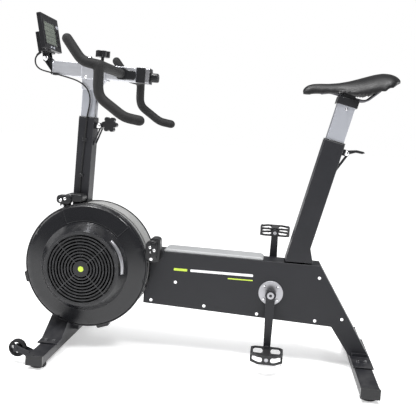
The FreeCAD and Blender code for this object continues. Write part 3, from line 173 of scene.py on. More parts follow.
# %% Group: dust that settles on what faces up
def build_dust():
    group, source, sink = new_group("settled dust", {"Scale": 35.0, "Amount": 0.5}, ["Mask"])
    facing = group.nodes.new("ShaderNodeSeparateXYZ")
    flat = group.nodes.new("ShaderNodeNewGeometry")
    group.links.new(flat.outputs["Normal"], facing.inputs[0])
    up = over(group, facing.outputs["Z"], floor=0.35, gain=1.4)
    cloud = noise_at(group, surface_place(group), source.outputs["Scale"], 6.0)
    cloud = over(group, cloud, floor=0.4, gain=4.0)
    mask = math_node(group, "MULTIPLY", up, cloud)
    group.links.new(math_node(group, "MULTIPLY", mask, source.outputs["Amount"]),
                    sink.inputs["Mask"])
    return group


DUST = build_dust()
print("group", DUST.name)

# %% Group: long streaks left by drawing or brushing metal
def build_streaks():
    group, source, sink = new_group(
        "drawn streaks", {"Along X": 6.0, "Along Y": 6.0, "Along Z": 6.0}, ["Height"])
    place = surface_place(group)
    stretch = group.nodes.new("ShaderNodeCombineXYZ")
    for axis in "XYZ":
        group.links.new(source.outputs[f"Along {axis}"], stretch.inputs[axis])
    scaled = group.nodes.new("ShaderNodeVectorMath")
    scaled.operation = "MULTIPLY"
    group.links.new(place, scaled.inputs[0])
    group.links.new(stretch.outputs[0], scaled.inputs[1])
    group.links.new(noise_at(group, scaled.outputs[0], 1.0, 3.0), sink.inputs["Height"])
    return group


STREAKS = build_streaks()
print("group", STREAKS.name)

# %% Group: the open cells of foam and the creased cells of vinyl
def build_cells():
    group, source, sink = new_group("small cells", {"Scale": 900.0}, ["Height"])
    cells = group.nodes.new("ShaderNodeTexVoronoi")
    cells.feature = "DISTANCE_TO_EDGE"
    group.links.new(surface_place(group), cells.inputs["Vector"])
    group.links.new(source.outputs["Scale"], cells.inputs["Scale"])
    soft = math_node(group, "MULTIPLY", cells.outputs["Distance"], 3.0, clamp=True)
    group.links.new(soft, sink.inputs["Height"])
    return group


CELLS = build_cells()
print("group", CELLS.name)

# %% [markdown]
# ## The finishes
# A finish is a Principled shader whose colour, roughness and bump come from the groups.
# One maker's function covers the many near-black surfaces: what tells powder coat from
# moulded plastic is the grain's size, how glossy it is, and how its edges wear.  Numbers
# that don't change over the surface sit on the shader's own sockets.

# %% Helpers for a finish
def place_group(tree, group, **values):
    node = tree.nodes.new("ShaderNodeGroup")
    node.node_tree = group
    for label, value in values.items():
        node.inputs[label.replace("_", " ")].default_value = value
    return node


def blend_colour(tree, mask, under, over):
    """Mix two colours by a mask; under may be a colour or a socket."""
    node = tree.nodes.new("ShaderNodeMix")
    node.data_type = "RGBA"
    tree.links.new(mask, node.inputs["Factor"])
    if isinstance(under, tuple):
        node.inputs["A"].default_value = (*under, 1.0)
    else:
        tree.links.new(under, node.inputs["A"])
    node.inputs["B"].default_value = (*over, 1.0)
    return node.outputs["Result"]


def spread(tree, socket, low, high):
    """Map a 0 to 1 socket onto low..high."""
    node = tree.nodes.new("ShaderNodeMapRange")
    node.inputs["To Min"].default_value = low
    node.inputs["To Max"].default_value = high
    tree.links.new(socket, node.inputs["Value"])
    return node.outputs["Result"]


def new_finish(name, colour, **constants):
    finish = bpy.data.materials.new(name)
    finish.use_nodes = True
    shader = finish.node_tree.nodes["Principled BSDF"]
    shader.inputs["Base Color"].default_value = (*colour, 1.0)
    for label, value in constants.items():
        shader.inputs[label.replace("_", " ")].default_value = value
    return finish, finish.node_tree, shader


def bump(tree, shader, height, strength, distance):
    node = tree.nodes.new("ShaderNodeBump")
    node.inputs["Strength"].default_value = strength
    node.inputs["Distance"].default_value = distance
    tree.links.new(height, node.inputs["Height"])
    tree.links.new(node.outputs["Normal"], shader.inputs["Normal"])


def wire(tree, shader, colour, mask, low, high):
    """Feed the shader's colour, and its roughness from a mask spread over low..high."""
    tree.links.new(colour, shader.inputs["Base Color"])
    tree.links.new(spread(tree, mask, low, high), shader.inputs["Roughness"])


print("finish helpers ready")

# %% Coated and moulded surfaces
def coated(name, colour, grain, gloss, patch_scale=12.0, edge=(0.13, 0.13, 0.14),
           dust=0.06, bump_depth=0.00006, **constants):
    """Powder coat or moulded plastic: grain, patchy gloss, paler edges and some dust."""
    finish, tree, shader = new_finish(name, colour, **constants)
    speckle = place_group(tree, GRAIN, Scale=grain, Patch_Scale=patch_scale)
    wear = place_group(tree, EDGE_WEAR)
    dusty = place_group(tree, DUST, Amount=dust)
    paler = tuple(min(1.0, value * 1.25 + 0.004) for value in colour)
    base = blend_colour(tree, speckle.outputs["Patches"], colour, paler)
    base = blend_colour(tree, wear.outputs["Mask"], base, edge)
    base = blend_colour(tree, dusty.outputs["Mask"], base, (0.34, 0.33, 0.32))
    wire(tree, shader, base, speckle.outputs["Patches"], gloss - 0.06, gloss + 0.08)
    bump(tree, shader, speckle.outputs["Height"], 0.5, bump_depth)
    return finish


BLACK_COAT = coated("black powder coat", (0.0085, 0.0088, 0.0112), 1400.0, 0.40,
                    Specular_IOR_Level=0.32)
BLACK_MOULDED = coated("black moulded plastic", (0.0060, 0.0062, 0.0072), 2200.0, 0.28,
                       bump_depth=0.00003, Specular_IOR_Level=0.36)
COVER_MOULDED = coated("fan cover plastic", (0.0060, 0.0062, 0.0075), 1500.0, 0.19,
                       patch_scale=7.0, bump_depth=0.00003, edge=(0.08, 0.08, 0.09),
                       Specular_IOR_Level=0.42)
# The top cover's mid grey is a painted reflection: it stands in for the light from above shining
# on a darker coat.
TOP_COVER_REFLECTION_GREY = coated("top cover painted reflection grey", (0.30, 0.305, 0.31), 1500.0, 0.38, edge=(0.5, 0.5, 0.5))
BLACK_FOAM_PLASTIC = coated("dark inner plastic", (0.005, 0.005, 0.006), 900.0, 0.55,
                            dust=0.0, Specular_IOR_Level=0.25)
RUBBER = coated("black rubber", (0.006, 0.006, 0.0065), 700.0, 0.58, edge=(0.03, 0.03, 0.03),
                dust=0.03, Specular_IOR_Level=0.25)
BAND_COAT = coated("grey band coat", (0.30, 0.30, 0.295), 1600.0, 0.36, edge=(0.55, 0.55, 0.55))
print("coated finishes made")

# %% Bare and plated metal
def metal(name, colour, gloss, streaks=(6.0, 6.0, 6.0), depth=0.00002):
    finish, tree, shader = new_finish(name, colour, Metallic=1.0)
    drawn = place_group(tree, STREAKS, Along_X=streaks[0], Along_Y=streaks[1],
                        Along_Z=streaks[2])
    rubbed = place_group(tree, GRAIN, Scale=300.0, Patch_Scale=18.0)
    darker = tuple(value * 0.86 for value in colour)
    base = blend_colour(tree, rubbed.outputs["Patches"], darker, colour)
    wire(tree, shader, base, drawn.outputs["Height"], gloss - 0.07, gloss + 0.09)
    bump(tree, shader, drawn.outputs["Height"], 0.4, depth)
    return finish


ALUMINIUM = metal("satin aluminium", (0.68, 0.70, 0.76), 0.33, streaks=(900.0, 900.0, 8.0))
SLIDE_ALUMINIUM = metal("satin aluminium slide", (0.72, 0.73, 0.77), 0.36,
                        streaks=(8.0, 900.0, 900.0))
STEEL = metal("machined steel", (0.40, 0.40, 0.42), 0.34, streaks=(400.0, 400.0, 400.0))
BRIGHT = metal("plated bolt", (0.82, 0.82, 0.83), 0.20, streaks=(60.0, 60.0, 60.0))
DARK_STEEL = metal("dark steel", (0.10, 0.10, 0.11), 0.36, streaks=(300.0, 300.0, 300.0))
print("metal finishes made")

# %% Foam and vinyl
def soft_finish(name, colour, cell_scale, gloss, depth, sheen, patch_scale=30.0):
    finish, tree, shader = new_finish(name, colour, Sheen_Weight=sheen, Sheen_Roughness=0.5,
                                      Specular_IOR_Level=0.34)
    cells = place_group(tree, CELLS, Scale=cell_scale)
    rubbed = place_group(tree, GRAIN, Scale=cell_scale * 2.0, Patch_Scale=patch_scale)
    dusty = place_group(tree, DUST, Amount=0.03)
    paler = tuple(value * 1.6 for value in colour)
    base = blend_colour(tree, rubbed.outputs["Patches"], colour, paler)
    base = blend_colour(tree, dusty.outputs["Mask"], base, (0.16, 0.155, 0.15))
    wire(tree, shader, base, rubbed.outputs["Patches"], gloss - 0.08, gloss + 0.08)
    height = math_node(tree, "ADD", cells.outputs["Height"],
                       math_node(tree, "MULTIPLY", rubbed.outputs["Height"], 0.5))
    bump(tree, shader, height, 0.6, depth)
    return finish


FOAM = soft_finish("closed-cell foam", (0.0045, 0.0045, 0.0048), 700.0, 0.72, 0.00025, 0.02)
VINYL = soft_finish("saddle vinyl", (0.0036, 0.0036, 0.0040), 420.0, 0.40, 0.00016, 0.01)
print("soft finishes made")

# %% [markdown]
# ## Dressing the rigid parts
# The CAD parts arrive as sharp-edged meshes.  Real sheet, tube and mouldings have small
# rounded edges that catch a line of light, so each part gets a weld, a narrow bevel and
# smooth shading by modifiers, which leave its own mesh untouched, and then its finish.

# %% Which finish each part wears, and how wide its edge rounding is
def dress(node_name, finish, edge=0.0012, segments=2):
    part = nodes[node_name]
    part.data.materials.clear()
    part.data.materials.append(finish)
    for slot in part.material_slots:
        slot.material = finish
    weld = part.modifiers.new("weld", "WELD")
    weld.merge_threshold = 0.00001
    if edge > 0:
        rounding = part.modifiers.new("edge rounding", "BEVEL")
        rounding.width = edge
        rounding.segments = segments
        rounding.limit_method = "ANGLE"
        rounding.angle_limit = math.radians(38)
    part.data.shade_smooth()
    even = part.modifiers.new("even shading", "WEIGHTED_NORMAL")
    even.weight = 80


WEARS = (
    (BLACK_COAT, 0.0012, ("left_side_plate", "right_side_plate", "chassis_web", "rear_leg_flange",
                          "fan_carrier", "caster_brackets", "lever_brackets")),
    (BLACK_COAT, 0.003, ("rear_crossbar", "front_crossbar", "seat_tube", "front_post",
                         "front_leg", "cover_lugs")),
    (BLACK_COAT, 0.0016, ("monitor_arm", "left_crank", "right_crank")),
    # the top cover wears the grey that paints in its reflection of the light from above
    (TOP_COVER_REFLECTION_GREY, 0.004, ("top_cover",)),
    (ALUMINIUM, 0.003, ("seat_post", "bar_post")),
    (SLIDE_ALUMINIUM, 0.003, ("slide_tube", "slide_sleeve")),
    (BRIGHT, 0.0006, ("frame_bolts",)),
    (STEEL, 0.0006, ("bearing_cups", "fan_axle", "crank_axle", "pedal_spindles", "jackshaft",
                     "crank_pulley", "fan_pulley")),
    (DARK_STEEL, 0.0006, ("saddle_rails", "handlebar")),
    (BLACK_MOULDED, 0.0012, ("end_caps", "post_bushes", "intake_grille", "seat_lever",
                             "bar_lever", "saddle_clamp", "damper_ring", "sleeve_knob")),
    (BLACK_MOULDED, 0.0022, ("monitor_case", "slide_end_cap")),
    (COVER_MOULDED, 0.003, ("near_cover", "far_cover")),
    (BLACK_FOAM_PLASTIC, 0.0, ("fan_wheel",)),
    (RUBBER, 0.0015, ("feet", "left_caster", "right_caster")),
    (RUBBER, 0.0, ("drive_belts", "frame_lead")),
)
for finish, edge, names in WEARS:
    for name in names:
        dress(name, finish, edge)
print("dressed", sum(len(names) for _, _, names in WEARS), "parts")

# %% [markdown]
# ## Making pieces in mesh code
# The pieces below share three ways of making a surface: a strip of rings joined into a
# skin, a round section swept along a line, and a flat outline given thickness.  Each is
# a few lines of bmesh, and each hands its result to one function that names the piece,
# gives it a finish and sets it riding on its body.

# %% Helpers that make and place a piece
def placed(name, data):
    """An object in the scene that shows the given data."""
    thing = bpy.data.objects.new(name, data)
    bpy.context.scene.collection.objects.link(thing)
    return thing


def finish_piece(name, mesh, finish, body, stands_for=(), smooth=True):
    """Name a mesh, give it its finish, and set it riding on a body."""
    piece = placed(name, mesh)
    mesh.materials.append(finish)
    if smooth:
        mesh.shade_smooth()
    if body:
        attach(piece, body)
    if stands_for:
        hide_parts(*stands_for)
    return piece


def mesh_from(name, corners, faces):
    mesh = bpy.data.meshes.new(name)
    mesh.from_pydata([tuple(c) for c in corners], [], faces)
    shape = bmesh.new()
    shape.from_mesh(mesh)
    bmesh.ops.remove_doubles(shape, verts=shape.verts, dist=0.000005)
    bmesh.ops.recalc_face_normals(shape, faces=shape.faces)
    shape.to_mesh(mesh)
    shape.free()
    return mesh


def skin(name, rings, closed=False):
    """Join rings of equal length into a skin; unless closed on itself, its ends are filled."""
    size = len(rings[0])
    corners = [corner for ring in rings for corner in ring]
    faces = []
    for i in range(len(rings) if closed else len(rings) - 1):
        a, b = i * size, (i + 1) % len(rings) * size
        for j in range(size):
            k = (j + 1) % size
            faces.append((a + j, a + k, b + k, b + j))
    if not closed:
        faces.append(tuple(range(size))[::-1])
        faces.append(tuple(range(len(corners) - size, len(corners))))
    return mesh_from(name, corners, faces)


def modify(piece, kind, **settings):
    """Add a modifier and apply it, so that the piece's mesh is final."""
    modifier = piece.modifiers.new(kind.lower(), kind)
    for label, value in settings.items():
        setattr(modifier, label, value)
    graph = bpy.context.evaluated_depsgraph_get()
    bpy.context.view_layer.update()
    result = bpy.data.meshes.new_from_object(piece.evaluated_get(graph))
    piece.modifiers.clear()
    old = piece.data
    piece.data = result
    bpy.data.meshes.remove(old)
    return piece


def mesh_of(name, shape):
    """A mesh with what a bmesh holds; the bmesh is used up."""
    mesh = bpy.data.meshes.new(name)
    shape.to_mesh(mesh)
    shape.free()
    return mesh


def joined(name, meshes):
    """Several meshes put into one; they are used up."""
    shape = bmesh.new()
    for mesh in meshes:
        shape.from_mesh(mesh)
        bpy.data.meshes.remove(mesh)
    return mesh_of(name, shape)


def fused(name, meshes, finish, body, stands_for=(), voxel=0.0018, relax=5):
    """Overlapping meshes grown together by a voxel remesh, then relaxed into one soft form."""
    piece = finish_piece(name, joined(name, meshes), finish, body, stands_for)
    modify(piece, "REMESH", mode="VOXEL", voxel_size=voxel)
    modify(piece, "SMOOTH", factor=0.5, iterations=relax)
    piece.data.shade_smooth()
    return piece


print("piece helpers ready")

# %% Helper: a round section swept along a line of points
def sweep(name, line, radius, sides=16, round_ends=False):
    """A tube along a line of points; radius is a number or one number per point."""
    line = [Vector(point) for point in line]
    radii = [radius] * len(line) if isinstance(radius, float) else list(radius)
    if round_ends:
        for end, step in ((0, 1), (-1, -1)):
            start = line[end]
            away = (start - line[end + step]).normalized()
            size = radii[end]
            cap = [(start + away * size * math.sin(angle), size * math.cos(angle))
                   for angle in (math.radians(a) for a in (88, 70, 48, 24))]
            if end == 0:
                line[:0] = [point for point, _ in cap]
                radii[:0] = [value for _, value in cap]
            else:
                line += [point for point, _ in cap[::-1]]
                radii += [value for _, value in cap[::-1]]
    ahead = (line[1] - line[0]).normalized()
    side = ahead.orthogonal().normalized()
    rings = []
    for i, point in enumerate(line):
        before, after = line[max(i - 1, 0)], line[min(i + 1, len(line) - 1)]
        new_ahead = (after - before).normalized()
        side = (ahead.rotation_difference(new_ahead) @ side).normalized()
        ahead = new_ahead
        other = ahead.cross(side)
        rings.append([point + (side * math.cos(t) + other * math.sin(t)) * radii[i]
                      for t in (2 * math.pi * j / sides for j in range(sides))])
    return skin(name, rings)


def smooth_line(points, resolution=12):
    """Points read from a NURBS spline that has the given control points."""
    curve = bpy.data.curves.new("line", "CURVE")
    curve.dimensions = "3D"
    spline = curve.splines.new("NURBS")
    spline.points.add(len(points) - 1)
    for target, point in zip(spline.points, points):
        target.co = (*point, 1.0)
    spline.order_u = 3
    spline.use_endpoint_u = True
    spline.resolution_u = resolution
    holder = bpy.data.objects.new("line", curve)
    mesh = bpy.data.meshes.new_from_object(holder)
    line = [vertex.co.copy() for vertex in mesh.vertices]
    bpy.data.meshes.remove(mesh)
    bpy.data.objects.remove(holder)
    bpy.data.curves.remove(curve)
    return line


print("sweeping ready")

# %% [markdown]
# ## The saddle
# A racing saddle is a firm shell under foam and a stretched vinyl cover: a long narrow
# nose, a waist, and wings that rise and widen to the tail.  It could be sculpted by a
# few scaled spheres, but the cover's tension is what the eye knows, so the form is
# skinned through cross-sections and then blown up a little as cloth, which pulls the
# surface tight between its high places.

# %% The saddle's cross-sections: along, half width, crown height, skirt height, in metres
SADDLE_SECTIONS = (
    (0.052, 0.010, 0.868, 0.857), (0.056, 0.016, 0.878, 0.855), (0.066, 0.0195, 0.8865, 0.856),
    (0.080, 0.021, 0.8915, 0.8575), (0.101, 0.0225, 0.894, 0.861), (0.130, 0.026, 0.8945, 0.864),
    (0.160, 0.033, 0.898, 0.864), (0.190, 0.043, 0.9045, 0.861), (0.218, 0.055, 0.913, 0.857),
    (0.243, 0.066, 0.9215, 0.856), (0.268, 0.074, 0.9295, 0.860), (0.292, 0.0775, 0.9345, 0.869),
    (0.312, 0.076, 0.934, 0.880), (0.328, 0.069, 0.930, 0.891), (0.340, 0.055, 0.923, 0.9005),
    (0.3465, 0.036, 0.916, 0.907),
)


def saddle_ring(along, half, crown, skirt):
    """Over the crown from side to side, then back under it, one wall thick."""
    wall = min(0.010, half * 0.40)
    tall = crown - skirt
    over, under = [], []
    for i in range(25):
        angle = math.pi * i / 24
        flat = math.copysign(abs(math.cos(angle)) ** 0.86, math.cos(angle))
        over.append((AXLE_X + along, half * flat, skirt + tall * math.sin(angle) ** 0.80))
    for i in range(1, 24):
        angle = math.pi - math.pi * i / 24
        rise = max(tall - 0.020, tall * 0.30)
        under.append((AXLE_X + along, (half - wall) * math.cos(angle),
                      skirt + rise * math.sin(angle) ** 0.55))
    return over + under


mesh = skin("saddle_pad", [saddle_ring(*section) for section in SADDLE_SECTIONS])
saddle = finish_piece("saddle_pad", mesh, VINYL, "saddle", ("saddle",))
print("saddle skinned:", len(saddle.data.vertices), "points")

# %% Blow the saddle up as cloth, with the travel of each point capped
VOXEL, SADDLE_PRESSURE, MOST_TRAVEL = 0.0045, 4.0, 0.005


def inflate(piece, voxel, pressure, most_travel, frames=20):
    """Remesh, puff up under pressure without gravity, cap the travel, apply."""
    modify(piece, "REMESH", mode="VOXEL", voxel_size=voxel)
    modify(piece, "SMOOTH", factor=0.5, iterations=3)
    start = [vertex.co.copy() for vertex in piece.data.vertices]
    scene = bpy.context.scene
    cloth = piece.modifiers.new("cloth", "CLOTH")
    settings = cloth.settings
    settings.quality = 5
    settings.mass = 0.3
    settings.tension_stiffness = 40
    settings.compression_stiffness = 40
    settings.shear_stiffness = 20
    settings.bending_stiffness = 6
    settings.use_pressure = True
    settings.uniform_pressure_force = pressure
    settings.effector_weights.gravity = 0
    cloth.point_cache.frame_start, cloth.point_cache.frame_end = 1, frames
    for step in range(1, frames + 1):
        scene.frame_set(step)
    graph = bpy.context.evaluated_depsgraph_get()
    puffed = piece.evaluated_get(graph).data
    moved = [vertex.co.copy() for vertex in puffed.vertices]
    piece.modifiers.clear()
    for vertex, old, new in zip(piece.data.vertices, start, moved):
        travel = new - old
        if travel.length > most_travel:
            travel = travel.normalized() * most_travel
        vertex.co = old + travel
    scene.frame_set(1)
    modify(piece, "SMOOTH", factor=0.5, iterations=2)
    modify(piece, "SUBSURF", levels=1)
    piece.data.shade_smooth()


# Half length and top of the clamp's wide head and of its cheeks, up along the seat post.
CLAMP_HEAD, CLAMP_CHEEKS = (0.033, 0.137), (0.0182, 0.150)


def hollow_under(piece, travel, aside, room):
    """Lift a pad's underside clear of the clamp as it slides fore and aft on its rails."""
    to_seat = SEAT_FRAME.inverted()
    for vertex in piece.data.vertices:
        spot = to_seat @ vertex.co
        for half_long, top in (CLAMP_HEAD, CLAMP_CHEEKS):
            if abs(spot.x) < half_long + travel and abs(spot.y) < aside:
                spot.z = max(spot.z, top + room)
        vertex.co = SEAT_FRAME @ spot


inflate(saddle, VOXEL, SADDLE_PRESSURE, MOST_TRAVEL)
hollow_under(saddle, travel=0.018, aside=0.0385, room=0.0015)
low, high = (Vector([f(v.co[i] for v in saddle.data.vertices) for i in range(3)])
             for f in (min, max))
print("saddle from", [round(v, 3) for v in low], "to", [round(v, 3) for v in high])

# %% [markdown]
# ## The foam on the bars
# Each side of the bar wears one thick foam sleeve that covers the cross bar, the horn and
# the drop.  Where they meet the foam runs together in a soft web.  Two swept tubes alone
# would meet in a hard line, so they are joined by a voxel remesh and then relaxed.

# %% Route of each foam sleeve around the corner of the bars
GRIP_RADIUS = 0.015
HORN = ((0, .029, 0), (0, .15, 0), (0, .245, 0), (-.003, .281, .0005), (-.034, .284, .005),
        (-.052, .2835, .013), (-.070, .283, .036), (-.094, .282, .068))
DROP = ((0, .282, 0), (0, .282, -.040), (0, .282, -.068), (.008, .2815, -.092),
        (.040, .2805, -.114), (.072, .279, -.137), (.092, .2775, -.1435), (.121, .274, -.1475))
SLIDE_W = 0.148
BAR_CORNER = POST_FRAME @ Vector((0.100, 0, SLIDE_W))


def foam_grip(name, side, node_name):
    tubes = []
    for route in (HORN, DROP):
        line = smooth_line([BAR_CORNER + Vector((x, side * y, z)) for x, y, z in route])
        tubes.append(sweep(name, line, GRIP_RADIUS - 0.0002, sides=28, round_ends=True))
    grip = fused(name, tubes, FOAM, "bar_slide", (node_name,), voxel=0.0026, relax=8)
    return grip


for name, side, node_name in (("left_foam", -1, "left_grip"), ("right_foam", 1, "right_grip")):
    grip = foam_grip(name, side, node_name)
    print(name, "has", len(grip.data.vertices), "points")

# %% [markdown]
# ## The display's lead
# A thin lead leaves the display's back, hangs in a loop, runs under a clip on the slide
# and drops along the post.  Its line is a NURBS spline through the same places as the
# model's route.  The display tilts and the bars slide and rise, so it is made in three
# stretches that meet end to end.

# %% Route of the lead: ahead of the crank axle, to the left and up, in millimetres
LEAD_RADIUS = 0.0024
LOOP = ((786, 40, 942.6), (796.8, 39.6, 933), (801.6, 39, 919), (798.9, 38.3, 904.4),
        (789, 37.4, 893), (774.5, 36.4, 887.5), (755, 35.3, 883.5), (732, 34.4, 878.8),
        (708, 34, 873.5))
CURVE_DOWN = ((708, 34, 873.5), (684, 35.5, 868), (660, 37, 861), (638, 37.5, 849),
              (623, 37, 831), (620, 36.5, 819.5))
FALL = ((620, 36.5, 819.5), (617, 36, 808), (619, 34, 784), (624, 32, 764), (627, 31.2, 745.2))


def lead_place(ahead, left, up):
    return Vector((AXLE_X - ahead / 1000, -left / 1000, up / 1000))


# Name, route, the bodies at its two ends, and the stops between which it gives.
STRETCHES = (
    ("lead_loop", LOOP, "monitor", "bar_slide", LOOP[0], LOOP[3]),
    ("lead_curve", CURVE_DOWN, "bar_slide", "bar_post", (700, 34, 873), (628, 37, 831)),
    ("lead_fall", FALL, "bar_post", "frame", (620, 36, 812), (626, 32, 752)),
)
for name, route, upper, lower, start, end in STRETCHES:
    line = smooth_line([lead_place(*stop) for stop in route])
    lead = finish_piece(name, sweep(name, line, LEAD_RADIUS, sides=12), RUBBER, None,
                        ("monitor_lead",))
    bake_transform(lead)

# %% [markdown]
# The lead is held by small moulded clips, one on the slide and two on the post, and a
# tapered boot guards it where it leaves the display.  A clip is a block with softened
# edges wrapped round the lead; only its outline shows, so a rounded outline given
# thickness is enough.

# %% Helper: a flat outline with rounded corners, given thickness
def rounded_outline(corners, radius, steps=5):
    """Corners (a, b) of a convex outline, each turned into a short arc."""
    out = []
    count = len(corners)
    for i in range(count):
        here = Vector(corners[i])
        back = (Vector(corners[i - 1]) - here)
        ahead = (Vector(corners[(i + 1) % count]) - here)
        reach = min(radius, back.length * 0.45, ahead.length * 0.45)
        start, end = here + back.normalized() * reach, here + ahead.normalized() * reach
        for k in range(steps + 1):
            t = k / steps
            out.append(start * (1 - t) ** 2 + here * 2 * t * (1 - t) + end * t * t)
    return out


def rectangle(low, high):
    """The four corners of a rectangle in two axes."""
    return [low, (high[0], low[1]), high, (low[0], high[1])]


def plate(name, outline, depth0, depth1, frame_matrix, axis="Y"):
    """An outline in two axes given thickness along the third, placed by a matrix."""
    def place(a, b, depth):
        spot = {"Y": (a, depth, b), "Z": (a, b, depth), "X": (depth, a, b)}[axis]
        return frame_matrix @ Vector(spot)
    rings = [[place(a, b, depth) for a, b in outline] for depth in (depth0, depth1)]
    return skin(name, rings)


def block(name, low, high, frame_matrix, radius=0.001, axis="Y"):
    """A box between two corners whose long edges are rounded in mesh code."""
    a, b, c = {"Y": (0, 2, 1), "Z": (0, 1, 2), "X": (1, 2, 0)}[axis]
    outline = rounded_outline(rectangle((low[a], low[b]), (high[a], high[b])), radius)
    return plate(name, outline, low[c], high[c], frame_matrix, axis)


def soften(piece, width, segments=2, angle=35):
    modify(piece, "BEVEL", width=width, segments=segments, limit_method="ANGLE",
           angle_limit=math.radians(angle))
    piece.data.shade_smooth()
    modify(piece, "WEIGHTED_NORMAL", weight=80)
    return piece


WORLD = Matrix.Identity(4)
print("outline helpers ready")

# %% The lead's clips and its boot
POST_CLIP = (.007, .0034, .005), (.007, .0031, .005), "frame", .001
# Name, the lead's place, reach below and beyond it, body and edge rounding.
CLIPS = (
    ("slide_lead_clip", (734, 34.4, 879), (.009, .0035, .004), (.009, .0095, .004),
     "bar_slide", .0012),
    ("post_lead_clip_1", (631.5, 31.2, 676), *POST_CLIP),
    ("post_lead_clip_2", (638.5, 31.2, 560), *POST_CLIP),
)
for name, stop, below, beyond, body, width in CLIPS:
    spot = lead_place(*stop)
    mesh = block(name, spot - Vector(below), spot + Vector(beyond), WORLD, 0.0025)
    soften(finish_piece(name, mesh, BLACK_MOULDED, body), width)
boot_line = smooth_line([lead_place(*stop) for stop in ((783, 40.1, 945.2), (788, 40, 941),
                                                       (796, 39.6, 933.6))], resolution=6)
boot_radii = [0.0046 - 0.0018 * i / (len(boot_line) - 1) for i in range(len(boot_line))]
finish_piece("lead_boot", sweep("lead_boot", boot_line, boot_radii, 14), RUBBER, "monitor")
print("lead clips and boot made")

# %% [markdown]
# ## The fan housing
# The near cover is a deep moulded dish.  Its side wall runs back over the drum, and a
# separate insert closes its top, so a seam shows at each end of it.  Behind the side wall
# the drum is a band of punched sheet that lets the air out.  The holes are real: each
# cell of a staggered grid is a ring of faces around an open middle.

# %% Helper: a profile turned about the fan's axle, all the way or over an angle
def fan_place(radius, depth, angle):
    return Vector((FAN_X + radius * math.cos(angle), depth, FAN_Z + radius * math.sin(angle)))


def turned(name, profile, start=0.0, end=360.0, steps=160):
    """A closed profile of (radius, depth) turned from start to end degrees."""
    whole = end - start >= 360.0
    count = steps if whole else steps + 1
    rings = [[fan_place(r, y, math.radians(start + (end - start) * i / steps))
              for r, y in profile] for i in range(count)]
    return skin(name, rings, closed=whole)


SIDE_WALL = ((.1975, -.077), (.1978, -.0745), (.1970, -.0725), (.1964, -.0715), (.1964, -.051),
             (.1972, -.0495), (.1972, -.047), (.1966, -.0460), (.1956, -.0460), (.1956, -.077))
wall = finish_piece("cover_side_wall", turned("cover_side_wall", SIDE_WALL), COVER_MOULDED,
                    "frame")
modify(wall, "WEIGHTED_NORMAL", weight=60)
INSERT = ((.1994, -.0775), (.1996, -.0878), (.1990, -.0905), (.1925, -.0992), (.1895, -.1008),
          (.1480, -.1106), (.1455, -.1104), (.1455, -.1085), (.1880, -.0970), (.1965, -.0870),
          (.1965, -.0775))
insert = finish_piece("cover_insert", turned("cover_insert", INSERT, 45.0, 115.0, 70),
                      COVER_MOULDED, "frame")
soften(insert, 0.0008)
BEAD = [(.1968 + .0024 * math.cos(a), -.0905 + .0024 * math.sin(a))
        for a in (2 * math.pi * k / 12 for k in range(12))]
finish_piece("cover_bead", turned("cover_bead", BEAD, steps=220), COVER_MOULDED, "frame")
SHUTTER = ((.1232, -.1362), (.1348, -.1168), (.1342, -.1160), (.1226, -.1354))
finish_piece("damper_shutter", turned("damper_shutter", SHUTTER, -48.0, 52.0, 60),
             STEEL, "damper")
print("side wall, insert, bead and shutter turned")

# %% The punched band
BAND_RADIUS, BAND_NEAR, BAND_FAR = 0.195, -0.076, 0.0326
HOLE_PITCH, HOLE_RADIUS, BELT_NOTCH_DEPTH = 0.0066, 0.0021, 0.004


def punched_band():
    """A rolled strip with staggered round holes, as one ring of faces per cell."""
    columns = int(2 * math.pi * BAND_RADIUS / HOLE_PITCH)
    rows = int((BAND_FAR - BAND_NEAR) / (HOLE_PITCH * 0.87))
    tall = (BAND_FAR - BAND_NEAR) / rows
    wide = 2 * math.pi / columns
    shape = bmesh.new()
    grid = {}

    def corner(column, row):
        key = (column % (2 * columns), row)
        if key not in grid:
            grid[key] = shape.verts.new(
                fan_place(BAND_RADIUS, BAND_NEAR + row * tall, key[0] * wide / 2))
        return grid[key]

    for row in range(rows):
        shift = row % 2
        for column in range(columns):
            first = 2 * column + shift
            outer = [corner(first, row), corner(first + 1, row), corner(first + 2, row),
                     corner(first + 2, row + 1), corner(first + 1, row + 1),
                     corner(first, row + 1)]
            middle = (first + 1) * wide / 2
            depth = BAND_NEAR + (row + 0.5) * tall
            low, _, high = fan_place(BAND_RADIUS, 0, middle) - Vector((FAN_X, 0, FAN_Z))
            if low > 0.13 and depth > BELT_NOTCH_DEPTH and -0.096 < high < 0.060:
                continue
            if row == 0 or row == rows - 1:
                shape.faces.new(outer)
                continue
            hole = []
            for angle in (-150, -90, -30, 30, 90, 150):
                a = math.radians(angle)
                hole.append(shape.verts.new(fan_place(
                    BAND_RADIUS, depth + HOLE_RADIUS * math.sin(a),
                    middle + HOLE_RADIUS * math.cos(a) / BAND_RADIUS)))
            for k in range(6):
                n = (k + 1) % 6
                shape.faces.new((outer[k], outer[n], hole[n], hole[k]))
    bmesh.ops.recalc_face_normals(shape, faces=shape.faces)
    return mesh_of("punched_band", shape), rows * columns


mesh, holes = punched_band()
band = finish_piece("punched_band", mesh, BAND_COAT, "frame", ("perforated_band",))
modify(band, "SOLIDIFY", thickness=0.0014, offset=-1.0)
print("band with", holes, "cells,", len(band.data.polygons), "faces")

# %% [markdown]
# ## Cast lugs, casters and the bar clamp
# The cover hangs on four cast lugs with full round forms and no sharp edge.  Rounding
# the edges of a joined block leaves creases where its parts meet, so the blocks are
# fused by a voxel remesh and relaxed, which is how a casting's fillets look.

# %% The cover's four lugs
def beside_axle(low, high, radius):
    """A rounded block given ahead of the crank axle, across and up, in millimetres."""
    low = Vector((AXLE_X + low[0] / 1000, low[1] / 1000, low[2] / 1000))
    high = Vector((AXLE_X + high[0] / 1000, high[1] / 1000, high[2] / 1000))
    return block("lump", low, high, WORLD, radius / 1000)


